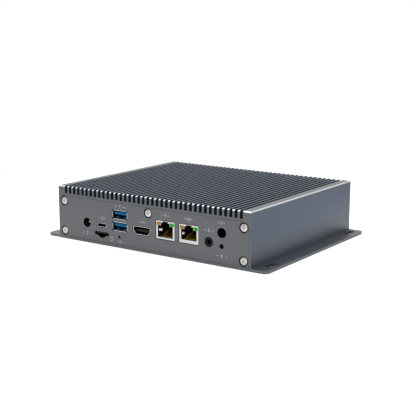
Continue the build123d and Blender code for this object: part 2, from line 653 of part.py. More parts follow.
def make_power_jack():
    """Sunk power jack: a body with two wings on the board, and its centre pin."""
    front_y = PANEL_BACK_Y + SOCKET_SETBACK
    body_y = run(front_y, JACK_DEPTH - SOCKET_SETBACK)
    body = block(span(JACK_X, JACK_WIDTH), body_y, span(JACK_Z, JACK_HEIGHT))
    wing_y = (BOARD_FRONT_Y + MARGIN, body_y[1])
    body += block(
        span(JACK_X, JACK_WIDTH + 2 * JACK_WING_WIDTH), wing_y, run(BOARD_TOP, JACK_WING_HEIGHT)
    )
    bore_y = (front_y - MARGIN, front_y + JACK_BORE_DEPTH)
    body -= prism_y(JACK_X, JACK_Z, JACK_BORE_RADIUS, bore_y, ROUND_SIDES)
    root_y = front_y + JACK_BORE_DEPTH + JACK_PIN_ROOT
    body -= prism_y(JACK_X, JACK_Z, JACK_PIN_RADIUS + THREAD_CLEARANCE, (front_y, root_y), HEAD_SIDES)
    tip_y = front_y + JACK_PIN_SETBACK
    pin = prism_y(JACK_X, JACK_Z, JACK_PIN_RADIUS, (tip_y, root_y), HEAD_SIDES)
    return body, chamfer(pin.edges().group_by(Axis.Y)[0], JACK_PIN_RADIUS / 2)


def make_small_socket():
    """Small data socket: a folded shell, and a moulding with its riser, back and tongue."""
    rear_y = SOCKET_FRONT_Y + SMALL_DEPTH
    shell = small_outline(0) - small_outline(-SMALL_SHEET)
    shell = along_y(shell, (SOCKET_FRONT_Y, rear_y))
    middle_z = BOARD_TOP + SMALL_RISE + SMALL_HEIGHT / 2
    back_y = run(rear_y, MARGIN)
    riser_x = span(SMALL_X, SMALL_TOP_WIDTH)
    moulding = block(riser_x, back_y, (BOARD_TOP, middle_z + SMALL_HEIGHT / 2))
    moulding += block(riser_x, (BOARD_FRONT_Y, back_y[1]), run(BOARD_TOP, SMALL_RISE))
    tongue_y = (SOCKET_FRONT_Y + SMALL_DEPTH / 5, back_y[1])
    moulding += block(span(SMALL_X, SMALL_TONGUE_WIDTH), tongue_y, span(middle_z, SMALL_TONGUE_HEIGHT))
    return shell, moulding


def make_card_socket():
    """Memory card socket under the board: a moulded base and the folded cover that makes its mouth."""
    socket_y = run(PANEL_BACK_Y + CUTOUT_GAP + BOARD_FRONT_GAP, CARD_SOCKET_DEPTH)
    inner_width = CARD_SOCKET_WIDTH - 2 * CARD_SHEET
    bottom = BOARD_BOTTOM - CARD_SOCKET_HEIGHT
    sheet = patch(span(SMALL_X, CARD_SOCKET_WIDTH), (bottom, BOARD_BOTTOM))
    sheet -= patch(span(SMALL_X, inner_width), (bottom + CARD_SHEET, BOARD_BOTTOM + MARGIN))
    base_x = span(SMALL_X, inner_width - 2 * SOCKET_FIT)
    base = block(base_x, socket_y, (BOARD_BOTTOM - CARD_BASE_THICKNESS, BOARD_BOTTOM))
    stop_y = (socket_y[1] - 2 * CARD_BASE_THICKNESS, socket_y[1])
    base += block(base_x, stop_y, (bottom + CARD_SHEET + SOCKET_FIT, BOARD_BOTTOM))
    return base, along_y(sheet, socket_y)


def make_data_shield():
    """Shield of the stacked data sockets: a can on the board and two flared noses in the panel."""
    can_x = span(DATA_X, DATA_BAY_WIDTH + 2 * DATA_SHEET)
    bay_x = span(DATA_X, DATA_BAY_WIDTH)
    can_y = (PANEL_BACK_Y + CUTOUT_GAP, SOCKET_FRONT_Y + DATA_DEPTH)
    inner_y = (can_y[0] + DATA_SHEET, can_y[1] - DATA_SHEET)
    inner_top = DATA_ZS[-1] + DATA_BAY_HEIGHT / 2
    nose_y = (SOCKET_FRONT_Y + DATA_FLARE_DEPTH - DATA_SHEET, SOCKET_FRONT_Y + DATA_MOUTH_DEPTH)
    shield = block(can_x, can_y, (BOARD_TOP, inner_top + DATA_SHEET))
    shield -= block(bay_x, inner_y, (BOARD_TOP - MARGIN, inner_top))
    for z in DATA_ZS:
        shield += block(can_x, nose_y, span(z, DATA_BAY_HEIGHT + 2 * DATA_SHEET))
        for side in (-1, 1):
            lip = flared_lip(side * DATA_BAY_HEIGHT / 2, side, DATA_FLARE)
            shield += Pos(0, 0, z) * along_x(lip, span(DATA_X, DATA_BAY_WIDTH - 2 * DATA_SHEET))
            lip = flared_lip(side * DATA_BAY_WIDTH / 2, side, DATA_SIDE_FLARE)
            lip = along_x(lip, span(0, DATA_BAY_HEIGHT - 2 * DATA_SHEET))
            shield += Pos(DATA_X, 0, z) * (Rot(0, 90, 0) * lip)
    for z in DATA_ZS:
        shield -= block(bay_x, (SOCKET_FRONT_Y - MARGIN, nose_y[1] + SOCKET_FIT), span(z, DATA_BAY_HEIGHT))
    return shield


def flared_lip(wall, side, reach):
    """Section of a sheet that leaves a wall and turns outwards up to the socket's front."""
    foot_y = SOCKET_FRONT_Y + DATA_FLARE_DEPTH
    sheet = side * DATA_SHEET
    flare = side * reach
    return Polygon(
        (foot_y, wall),
        (foot_y, wall + sheet),
        (SOCKET_FRONT_Y, wall + sheet + flare),
        (SOCKET_FRONT_Y, wall + flare),
        align=None,
    )


def make_data_moulding(z):
    """Coloured moulding of one data socket: a back wall, the tongue and two floor ribs."""
    back_y = run(SOCKET_FRONT_Y + DATA_MOUTH_DEPTH, DATA_BACK_THICKNESS)
    fit_width = DATA_BAY_WIDTH - 2 * SOCKET_FIT
    moulding = block(span(DATA_X, fit_width), back_y, span(z, DATA_BAY_HEIGHT - 2 * SOCKET_FIT))
    tongue_top = z + DATA_BAY_HEIGHT / 2 - DATA_TONGUE_DROP
    tongue_y = (SOCKET_FRONT_Y + DATA_TONGUE_SETBACK, back_y[1])
    tongue_z = (tongue_top - DATA_TONGUE_HEIGHT, tongue_top)
    moulding += block(span(DATA_X, DATA_TONGUE_WIDTH), tongue_y, tongue_z)
    floor_z = run(z - DATA_BAY_HEIGHT / 2 + SOCKET_FIT, DATA_FLOOR_RIB_HEIGHT)
    for side in (-1, 1):
        rib_x = span(DATA_X + side * DATA_FLOOR_RIB_SPACING / 2, DATA_FLOOR_RIB_WIDTH)
        moulding += block(rib_x, tongue_y, floor_z)
    return moulding


def make_data_housing():
    """Black block behind both data sockets, with a filler that reaches forward between them."""
    fit_x = span(DATA_X, DATA_BAY_WIDTH - 2 * SOCKET_FIT)
    front_y = SOCKET_FRONT_Y + DATA_MOUTH_DEPTH + DATA_BACK_THICKNESS
    rear_y = SOCKET_FRONT_Y + DATA_DEPTH - DATA_SHEET - SOCKET_FIT
    reach = DATA_BAY_HEIGHT / 2 + DATA_SHEET + SOCKET_FIT
    housing = block(fit_x, (front_y, rear_y), (BOARD_TOP, DATA_ZS[-1] + DATA_BAY_HEIGHT / 2 - SOCKET_FIT))
    filler_y = (PANEL_BACK_Y + CUTOUT_GAP + DATA_SHEET + SOCKET_FIT, rear_y)
    return housing + block(fit_x, filler_y, (DATA_ZS[0] + reach, DATA_ZS[-1] - reach))


def make_video_socket():
    """Video socket: a folded shell, and a moulding with its back, foot and tongue."""
    rear_y = SOCKET_FRONT_Y + VIDEO_DEPTH
    shell = along_y(video_outline(0) - video_outline(-VIDEO_SHEET), (SOCKET_FRONT_Y, rear_y))
    middle_z = BOARD_TOP + VIDEO_RISE + VIDEO_HEIGHT / 2
    plug_y = (SOCKET_FRONT_Y + VIDEO_MOUTH_DEPTH, rear_y + MARGIN)
    moulding = along_y(video_outline(-VIDEO_SHEET - SOCKET_FIT), plug_y)
    foot_width = VIDEO_WIDTH - 2 * VIDEO_CHAMFER_WIDTH
    moulding += block(span(VIDEO_X, foot_width), run(rear_y, MARGIN), (BOARD_TOP, middle_z))
    tongue_y = (SOCKET_FRONT_Y + VIDEO_TONGUE_SETBACK, rear_y)
    moulding += block(span(VIDEO_X, VIDEO_TONGUE_WIDTH), tongue_y, span(middle_z, VIDEO_TONGUE_HEIGHT))
    return shell, moulding


def network_floor(x):
    """Height of the mouth's floor in the network socket at X. The two sockets differ in it."""
    return NETWORK_FLOORS[NETWORK_XS.index(x)]


def network_mouth(x, grow):
    """Stepped mouth of a network socket: the plug's opening, the latch's and the key above it."""
    latch_z = NETWORK_MOUTH_TOP
    key_z = latch_z + NETWORK_LATCH_HEIGHT
    mouth = patch(span(x, NETWORK_MOUTH_WIDTH + 2 * grow), (network_floor(x), latch_z))
    mouth += patch(span(x, NETWORK_LATCH_WIDTH), (latch_z - MARGIN, key_z))
    return mouth + patch(span(x, NETWORK_KEY_WIDTH), (key_z - MARGIN, key_z + NETWORK_KEY_HEIGHT))


def network_lights(x, grow):
    """Sections of a network socket's two lights, left then right."""
    light_top = NETWORK_TOP - NETWORK_LIGHT_DROP
    light_z = (light_top - NETWORK_LIGHT_HEIGHT - grow, light_top + grow)
    return [
        patch(span(x + side * NETWORK_LIGHT_SPACING / 2, NETWORK_LIGHT_WIDTH + 2 * grow), light_z)
        for side in (-1, 1)
    ]


def make_network_shield(x):
    """Folded shield of one network socket, with its stepped mouth, light windows and side springs."""
    outer_y = run(SOCKET_FRONT_Y, NETWORK_DEPTH)
    inner_y = (outer_y[0] + NETWORK_SHEET, outer_y[1] - NETWORK_SHEET)
    inner_z = (BOARD_TOP - MARGIN, NETWORK_TOP - NETWORK_SHEET)
    shield = block(span(x, NETWORK_WIDTH), outer_y, (BOARD_TOP, NETWORK_TOP))
    shield -= block(span(x, NETWORK_WIDTH - 2 * NETWORK_SHEET), inner_y, inner_z)
    windows = network_mouth(x, 0)
    for light in network_lights(x, SOCKET_FIT):
        windows += light
    shield -= along_y(windows, (outer_y[0] - MARGIN, inner_y[0] + SOCKET_FIT))
    spring_z = span((network_floor(x) + NETWORK_MOUTH_TOP) / 2, SHIELD_SPRING_HEIGHT)
    for side in (-1, 1):
        inner_x = x + side * NETWORK_MOUTH_WIDTH / 2
        spring_x = sorted((inner_x, inner_x + side * NETWORK_SHEET))
        shield += block(spring_x, (outer_y[0], outer_y[0] + SHIELD_SPRING_DEPTH), spring_z)
    return shield


def make_network_housing(x):
    """Moulded housing of one network socket, with its plug cavity and two light channels."""
    fit = NETWORK_SHEET + SOCKET_FIT
    front_y = SOCKET_FRONT_Y + fit
    housing_y = (front_y, SOCKET_FRONT_Y + NETWORK_DEPTH - fit)
    housing = block(span(x, NETWORK_WIDTH - 2 * fit), housing_y, (BOARD_TOP, NETWORK_TOP - fit))
    cavity_y = (front_y - MARGIN, SOCKET_FRONT_Y + NETWORK_CAVITY_DEPTH)
    housing -= along_y(network_mouth(x, SHIELD_SPRING_ROOM), cavity_y)
    channel_y = (front_y - MARGIN, SOCKET_FRONT_Y + NETWORK_LIGHT_DEPTH)
    for light in network_lights(x, SOCKET_FIT):
        housing -= along_y(light, channel_y)
    return housing


def make_network_contacts(x):
    """Spring contacts of one network socket, which rise from the floor towards its back."""
    start_y = SOCKET_FRONT_Y + CONTACT_SETBACK
    end_y = SOCKET_FRONT_Y + NETWORK_CAVITY_DEPTH
    floor = network_floor(x)
    end_z = floor + (end_y - start_y) * math.tan(math.radians(CONTACT_SLOPE))
    profile = Polygon(
        (start_y, floor),
        (end_y, end_z),
        (end_y, end_z + CONTACT_HEIGHT),
        (start_y, floor + CONTACT_HEIGHT),
        align=None,
    )
    row = [(index - (CONTACT_COUNT - 1) / 2) * CONTACT_PITCH for index in range(CONTACT_COUNT)]
    return [along_x(profile, span(x + offset, CONTACT_WIDTH)) for offset in row]


def make_audio_socket():
    """Audio socket: a body on the board and a round nose in the panel, bored for the plug."""
    front_y = PANEL_BACK_Y + SOCKET_SETBACK
    body = block(span(AUDIO_X, AUDIO_WIDTH), run(front_y, AUDIO_DEPTH), run(BOARD_TOP, AUDIO_HEIGHT))
    body += round_y(AUDIO_X, AUDIO_Z, AUDIO_NOSE_RADIUS, (SOCKET_FRONT_Y, front_y + MARGIN))
    bore_y = (SOCKET_FRONT_Y - MARGIN, SOCKET_FRONT_Y + AUDIO_BORE_DEPTH)
    return body - round_y(AUDIO_X, AUDIO_Z, AUDIO_BORE_RADIUS, bore_y)


def make_power_light():
    """Power light: a domed lens with a flange, and the right-angle holder that it sits in."""
    dome_y = FRONT_Y + LIGHT_SETBACK
    flange_y = PANEL_BACK_Y + SOCKET_SETBACK
    seat_y = flange_y + LIGHT_FLANGE_THICKNESS
    lens = prism_y(LIGHT_X, LIGHT_Z, LIGHT_LENS_RADIUS, (dome_y, seat_y), HEAD_SIDES)
    lens = chamfer(lens.edges().group_by(Axis.Y)[0], LIGHT_LENS_RADIUS / 2)
    lens += prism_y(LIGHT_X, LIGHT_Z, LIGHT_FLANGE_RADIUS, (flange_y, seat_y), HEAD_SIDES)
    holder_top = LIGHT_Z + LIGHT_HOLDER_WIDTH / 2
    holder_y = run(flange_y + SOCKET_FIT, LIGHT_HOLDER_DEPTH)
    holder = block(span(LIGHT_X, LIGHT_HOLDER_WIDTH), holder_y, (BOARD_TOP, holder_top))
    seat = prism_y(LIGHT_X, LIGHT_Z, LIGHT_FLANGE_RADIUS + SOCKET_FIT, (flange_y, seat_y), HEAD_SIDES)
    return lens, holder - seat


def make_recovery_switch():
    """Recovery switch: a body under the board and the small button that a pin presses."""
    front_y = PANEL_BACK_Y + RECOVERY_GAP + RECOVERY_BUTTON_REACH
    bottom = BOARD_BOTTOM - RECOVERY_HEIGHT
    body = block(span(RECOVERY_X, RECOVERY_WIDTH), run(front_y, RECOVERY_DEPTH), (bottom, BOARD_BOTTOM))
    well_depth = RECOVERY_BUTTON_ROOT + RECOVERY_TRAVEL + SOCKET_FIT
    well_radius = RECOVERY_BUTTON_RADIUS + SOCKET_FIT
    well_y = (front_y - MARGIN, front_y + well_depth)
    body -= prism_y(RECOVERY_X, RECOVERY_Z, well_radius, well_y, SCREW_SIDES)
    button_y = (front_y - RECOVERY_BUTTON_REACH, front_y + RECOVERY_BUTTON_ROOT)
    return body, prism_y(RECOVERY_X, RECOVERY_Z, RECOVERY_BUTTON_RADIUS, button_y, SCREW_SIDES)


def make_module_socket():
    """Edge socket of the compute module, with the slot that takes the module's front edge."""
    socket_z = (BOARD_TOP, MODULE_TOP + MODULE_SOCKET_LIP)
    socket_y = run(MODULE_SOCKET_Y, MODULE_SOCKET_DEPTH)
    socket = block(span(BLOCK_X, MODULE_SOCKET_WIDTH), socket_y, socket_z)
    slot_y = (MODULE_FRONT_Y - SOCKET_FIT, socket_y[1] + MARGIN)
    slot_z = (MODULE_BOTTOM - SOCKET_FIT, MODULE_TOP + SOCKET_FIT)
    return socket - block(span(BLOCK_X, MODULE_WIDTH + 2 * SOCKET_FIT), slot_y, slot_z)


def make_module_board():
    """Compute module's board, with a hole for each screw that holds the heat block."""
    board_y = (MODULE_FRONT_Y, MODULE_REAR_Y)
    board = block(span(BLOCK_X, MODULE_WIDTH), board_y, (MODULE_BOTTOM, MODULE_TOP))
    hole_z = (MODULE_BOTTOM - MARGIN, MODULE_TOP + MARGIN)
    for x, y in BLOCK_POSTS:
        board -= prism_z(x, y, BLOCK_SCREW_RADIUS + HOLE_CLEARANCE, hole_z)
    return board


def make_processor():
    """Processor: a square package with its bare die standing on it."""
    package_z = run(MODULE_TOP, PROCESSOR_THICKNESS)
    package = block(span(BLOCK_X, PROCESSOR_SIZE), span(BLOCK_Y, PROCESSOR_SIZE), package_z)
    die = block(span(BLOCK_X, DIE_SIZE), span(BLOCK_Y, DIE_SIZE), run(package_z[1], DIE_THICKNESS))
    return package + die


def make_memory_chips():
    """Memory chips in a row on each side of the processor."""
    chips = []
    for side in (-1, 1):
        for index in range(MEMORY_PER_SIDE):
            offset = PROCESSOR_SIZE / 2 + (index + 1) * MEMORY_GAP + (index + 0.5) * MEMORY_WIDTH
            x = span(BLOCK_X + side * offset, MEMORY_WIDTH)
            chips.append(block(x, span(BLOCK_Y, MEMORY_DEPTH), run(MODULE_TOP, MEMORY_THICKNESS)))
    return chips


def make_heat_block():
    """Aluminium block over the processor, on four posts, with sunk holes for its screws."""
    body_x = span(BLOCK_X, HEAT_BLOCK_WIDTH)
    body = block(body_x, span(BLOCK_Y, HEAT_BLOCK_DEPTH), (BLOCK_BOTTOM, BLOCK_TOP))
    for x, y in BLOCK_POSTS:
        body += prism_z(x, y, POST_RADIUS, (MODULE_TOP, BLOCK_BOTTOM + MARGIN))
    for x, y in BLOCK_POSTS:
        body -= prism_z(x, y, BLOCK_SCREW_RADIUS + HOLE_CLEARANCE, (MODULE_TOP - MARGIN, BLOCK_TOP))
        sink = (BLOCK_TOP - BLOCK_SCREW_SINK, BLOCK_TOP + MARGIN)
        body -= prism_z(x, y, BLOCK_SCREW_HEAD_RADIUS + HOLE_CLEARANCE, sink)
    return body


def make_module_standoff(x, y):
    """Threaded standoff between the main board and the compute module."""
    post = hexagon_post(x, y, 2 * POST_RADIUS - 2 * HOLE_CLEARANCE, (BOARD_TOP, MODULE_BOTTOM))
    bore = (MODULE_BOTTOM - BLOCK_SCREW_BITE - HOLE_CLEARANCE, MODULE_BOTTOM + MARGIN)
    return post - prism_z(x, y, BLOCK_SCREW_RADIUS + THREAD_CLEARANCE, bore)


def make_capacitor(x, y):
    """Round capacitor can on its square foot."""
    foot_top = BOARD_TOP + CAPACITOR_FOOT_HEIGHT
    foot = block(span(x, 2 * CAPACITOR_RADIUS), span(y, 2 * CAPACITOR_RADIUS), (BOARD_TOP, foot_top))
    can_z = (foot_top, BOARD_TOP + CAPACITOR_HEIGHT)
    return foot + prism_z(x, y, CAPACITOR_RADIUS, can_z, HEAD_SIDES)


def make_inductor(x, y):
    """Power inductor, a square block with cut corners."""
    outline = Rectangle(INDUCTOR_SIZE, INDUCTOR_SIZE)
    outline = chamfer(outline.vertices(), INDUCTOR_CORNER)
    return along_z(Pos(x, y) * outline, run(BOARD_TOP, INDUCTOR_HEIGHT))


def make_cell_and_holder(x, y):
    """Clock cell, and the open holder that it lies in with a notch to lift it out."""
    reach = CELL_RADIUS + SOCKET_FIT + CELL_HOLDER_WALL
    outline = Rectangle(2 * reach, 2 * reach)
    outline = chamfer(outline.vertices(), reach / 2)
    holder = along_z(Pos(x, y) * outline, run(BOARD_TOP, CELL_HOLDER_HEIGHT))
    floor_top = BOARD_TOP + CELL_HOLDER_FLOOR
    pocket_z = (floor_top, BOARD_TOP + CELL_HOLDER_HEIGHT + MARGIN)
    holder -= prism_z(x, y, CELL_RADIUS + SOCKET_FIT, pocket_z, ROUND_SIDES)
    holder -= block(span(x, CELL_RADIUS), (y + CELL_RADIUS / 2, y + reach + MARGIN), pocket_z)
    return prism_z(x, y, CELL_RADIUS, run(floor_top, CELL_HEIGHT), ROUND_SIDES), holder


def make_card_edge_socket(x, y):
    """Edge socket for a radio card, and the post that would hold the card's far end."""
    socket_y = run(y, CARD_EDGE_SOCKET_DEPTH)
    socket = block(span(x, CARD_EDGE_SOCKET_WIDTH), socket_y, run(BOARD_TOP, CARD_EDGE_SOCKET_HEIGHT))
    slot_z = span(BOARD_TOP + CARD_EDGE_SOCKET_HEIGHT / 2, CARD_EDGE_SLOT_HEIGHT)
    slot_y = (socket_y[1] - CARD_EDGE_SLOT_DEPTH, socket_y[1] + MARGIN)
    socket -= block(span(x, CARD_EDGE_SLOT_WIDTH), slot_y, slot_z)
    post_y = socket_y[1] + CARD_EDGE_POST_REACH
    post = hexagon_post(x, post_y, 2 * CARD_EDGE_POST_RADIUS, (BOARD_TOP, slot_z[0]))
    return socket, post


def save_enclosure():
    """Cover, panels, base plate and the screws that join them."""
    save("heatsink_cover", make_heatsink_cover())
    save("base_plate", make_base_plate())
    save("front_panel", make_front_panel())
    save("rear_panel", mirror(make_panel([]), Plane.XZ))
    screw = pan_screw(SCREW_RADIUS, SCREW_HEAD_RADIUS, SCREW_HEAD_HEIGHT, PANEL_SCREW_LENGTH)
    seat_y = FRONT_Y + COUNTERBORE_DEPTH
    save("front_panel_screws", *[Pos(x, seat_y, z) * (Rot(90, 0, 0) * screw) for x, z in PANEL_SCREWS])
    save("rear_panel_screws", *[Pos(x, -seat_y, z) * (Rot(-90, 0, 0) * screw) for x, z in PANEL_SCREWS])
    base_screw = countersunk_screw(BASE_SCREW_LENGTH)
    save("base_screws", *[Pos(x, y, HOLE_CLEARANCE) * base_screw for x, y in BASE_SCREWS])


def save_sockets():
    """Everything that shows in the front panel's cut-outs."""
    body, pin = make_power_jack()
    save("power_jack_body", body)
    save("power_jack_pin", pin)
    shell, moulding = make_small_socket()
    save("small_socket_shell", shell)
    save("small_socket_moulding", moulding)
    base, cover = make_card_socket()
    save("card_socket_base", base)
    save("card_socket_cover", cover)
    save("data_socket_shield", make_data_shield())
    save("data_socket_housing", make_data_housing())
    for name, z in zip(("lower", "upper"), DATA_ZS):
        save(f"data_socket_tongue_{name}", make_data_moulding(z))
    shell, moulding = make_video_socket()
    save("video_socket_shell", shell)
    save("video_socket_moulding", moulding)
    for number, x in enumerate(NETWORK_XS, start=1):
        save(f"network_socket_{number}_shield", make_network_shield(x))
        save(f"network_socket_{number}_housing", make_network_housing(x))
        save(f"network_socket_{number}_contacts", *make_network_contacts(x))
        light_y = run(SOCKET_FRONT_Y, NETWORK_LIGHT_DEPTH)
        for name, light in zip(("amber", "green"), network_lights(x, 0)):
            save(f"network_socket_{number}_{name}_light", along_y(light, light_y))
    save("audio_socket", make_audio_socket())
    lens, holder = make_power_light()
    save("power_light_lens", lens)
    save("power_light_holder", holder)
    body, button = make_recovery_switch()
    save("recovery_switch_body", body)
    save("recovery_button", button)


def save_boards():
    """Main board with its standoffs, and the compute module with its heat path."""
    save("main_board", make_main_board())
    save("board_standoffs", *[make_standoff(x, y) for x, y in BOARD_HOLES])
    screw = pan_screw(SCREW_RADIUS, SCREW_HEAD_RADIUS, SCREW_HEAD_HEIGHT, BOARD_SCREW_LENGTH)
    save("board_screws", *[Pos(x, y, BOARD_TOP) * screw for x, y in BOARD_HOLES])
    save("module_socket", make_module_socket())
    save("module_board", make_module_board())
    save("module_standoffs", *[make_module_standoff(x, y) for x, y in BLOCK_POSTS])
    save("processor", make_processor())
    save("memory_chips", *make_memory_chips())
    die_top = BLOCK_BOTTOM - PROCESSOR_PAD_THICKNESS
    save("processor_pad", block(span(BLOCK_X, DIE_SIZE), span(BLOCK_Y, DIE_SIZE), (die_top, BLOCK_BOTTOM)))
    save("heat_block", make_heat_block())
    pad_x = span(BLOCK_X, HEAT_BLOCK_WIDTH - 2 * COVER_PAD_MARGIN)
    pad_y = span(BLOCK_Y, HEAT_BLOCK_DEPTH - 2 * COVER_PAD_MARGIN)
    save("cover_pad", block(pad_x, pad_y, (BLOCK_TOP, CEILING)))
    seat = BLOCK_TOP - BLOCK_SCREW_SINK
    length = seat - MODULE_BOTTOM + BLOCK_SCREW_BITE
    screw = pan_screw(BLOCK_SCREW_RADIUS, BLOCK_SCREW_HEAD_RADIUS, BLOCK_SCREW_HEAD_HEIGHT, length)
    save("heat_block_screws", *[Pos(x, y, seat) * screw for x, y in BLOCK_POSTS])


def save_board_parts():
    """Network transformers, power parts, clock cell and the radio card's socket."""
    transformer_y = run(SOCKET_FRONT_Y + NETWORK_DEPTH + TRANSFORMER_GAP, TRANSFORMER_DEPTH)
    transformer_z = run(BOARD_TOP, TRANSFORMER_HEIGHT)
    save(
        "network_transformers",
        *[block(span(x, TRANSFORMER_WIDTH), transformer_y, transformer_z) for x in NETWORK_XS],
    )

    # The power parts stand in rows behind the power jack, and the rest follows them to the rear
    row_y = PANEL_BACK_Y + JACK_DEPTH + PART_GAP + INDUCTOR_SIZE / 2
    inductor_xs = [JACK_X + index * (INDUCTOR_SIZE + PART_GAP) for index in range(INDUCTOR_COUNT)]
    save("power_inductors", *[make_inductor(x, row_y) for x in inductor_xs])
    row_y += INDUCTOR_SIZE / 2 + PART_GAP + CAPACITOR_RADIUS
    capacitor_pitch = 2 * CAPACITOR_RADIUS + PART_GAP
    capacitor_xs = [JACK_X + index * capacitor_pitch for index in range(CAPACITOR_COUNT)]
    save("power_capacitors", *[make_capacitor(x, row_y) for x in capacitor_xs])
    row_y += CAPACITOR_RADIUS + PART_GAP
    socket, post = make_card_edge_socket(JACK_X + CARD_EDGE_SOCKET_WIDTH / 2, row_y)
    save("radio_card_socket", socket)
    save("radio_card_post", post)
    holder_reach = CELL_RADIUS + CELL_HOLDER_WALL + PART_GAP
    cell_x = BOARD_HOLE_INSET - BOARD_HALF_WIDTH + SCREW_HEAD_RADIUS + holder_reach
    cell, holder = make_cell_and_holder(cell_x, BOARD_REAR_Y - holder_reach)
    save("clock_cell", cell)
    save("clock_cell_holder", holder)


os.makedirs("parts", exist_ok=True)
save_enclosure()
save_sockets()
save_boards()
save_board_parts()
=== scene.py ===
"""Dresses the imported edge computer: a finish for every node, and small pieces that the solids leave out.

X runs along the front from left to right, Y from the front to the back and Z up. The classes hold their
sizes in millimetres, and Workpiece turns them into Blender's metres.
"""

import logging
import math
from collections.abc import Callable, Sequence
from dataclasses import dataclass
from enum import Enum

import bmesh
import bpy
from mathutils import Matrix, Vector


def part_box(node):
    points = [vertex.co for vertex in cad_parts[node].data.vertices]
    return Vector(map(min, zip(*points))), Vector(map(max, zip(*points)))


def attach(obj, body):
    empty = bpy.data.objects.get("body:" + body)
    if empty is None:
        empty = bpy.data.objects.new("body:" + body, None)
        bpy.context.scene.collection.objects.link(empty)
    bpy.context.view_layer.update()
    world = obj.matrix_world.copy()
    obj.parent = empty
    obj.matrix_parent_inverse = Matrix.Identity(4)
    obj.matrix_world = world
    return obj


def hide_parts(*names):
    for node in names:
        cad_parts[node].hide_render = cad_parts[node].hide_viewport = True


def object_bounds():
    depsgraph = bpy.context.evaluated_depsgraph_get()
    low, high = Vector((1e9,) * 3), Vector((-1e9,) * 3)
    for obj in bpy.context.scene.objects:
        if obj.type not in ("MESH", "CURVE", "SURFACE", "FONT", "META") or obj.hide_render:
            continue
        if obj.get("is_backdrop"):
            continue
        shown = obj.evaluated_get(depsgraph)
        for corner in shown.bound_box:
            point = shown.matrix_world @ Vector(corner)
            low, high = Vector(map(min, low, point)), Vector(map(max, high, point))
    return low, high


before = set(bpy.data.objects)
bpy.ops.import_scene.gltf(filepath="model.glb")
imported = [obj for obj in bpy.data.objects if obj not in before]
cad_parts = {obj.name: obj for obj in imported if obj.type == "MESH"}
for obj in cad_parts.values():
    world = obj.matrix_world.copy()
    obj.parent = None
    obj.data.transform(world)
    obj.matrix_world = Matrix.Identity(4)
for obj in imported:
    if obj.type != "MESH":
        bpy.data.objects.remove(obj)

log = logging.getLogger("edge_computer")

MM = 0.001
CRISP_ANGLE = math.radians(32)
ROUNDED_ANGLE = math.radians(35)
MERGE_DISTANCE = 0.000001
WAVE_SCALE = 0.314159

Colour = tuple[float, float, float, float]
Point = Sequence[float]
Steps = tuple[tuple[float, float], ...]
Socket = bpy.types.NodeSocket
Source = Socket | float | Point
Inputs = dict[str | int, Source]


def srgb(red: int, green: int, blue: int) -> Colour:
    """Turns a colour as a screen shows it into the linear one that a shader takes.

    Args:
        red: Red, 0 to 255.
        green: Green, 0 to 255.
        blue: Blue, 0 to 255.

    Returns:
        The linear colour with full alpha.
    """
    parts = [value / 255 for value in (red, green, blue)]
    linear = [part / 12.92 if part <= 0.04045 else ((part + 0.055) / 1.055) ** 2.4 for part in parts]
    return linear[0], linear[1], linear[2], 1.0


def at(point: Point) -> Vector:
    """Turns a place or size in millimetres into metres."""
    return Vector(point) * MM


class Axis(Enum):
    """Direction that a turned piece runs in, with the turn that takes +Z there."""

    FORWARD = ((0, -1, 0), (math.pi / 2, 0, 0))
    BACK = ((0, 1, 0), (-math.pi / 2, 0, 0))
    DOWN = ((0, 0, -1), (math.pi, 0, 0))

    @property
    def way(self) -> Vector:
        """Direction as a vector."""
        return Vector(self.value[0])

    def across(self, share: float) -> list[float]:
        """Gives scale factors that leave lengths along the axis alone."""
        return [1.0 if part else share for part in self.value[0]]


class Body(Enum):
    """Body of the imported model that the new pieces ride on."""

    ROOT = "root"


class Slot(Enum):
    """Material slots of the record, named for the kinds of new pieces."""

    NICKEL = "nickel_steel"
    TINNED = "tinned_sheet"
    BLACK = "black_moulding"
    AMBER = "amber_lens"
    GREEN = "green_lens"
    DARK = "dark_lens"
    GOLD = "gold_contact"


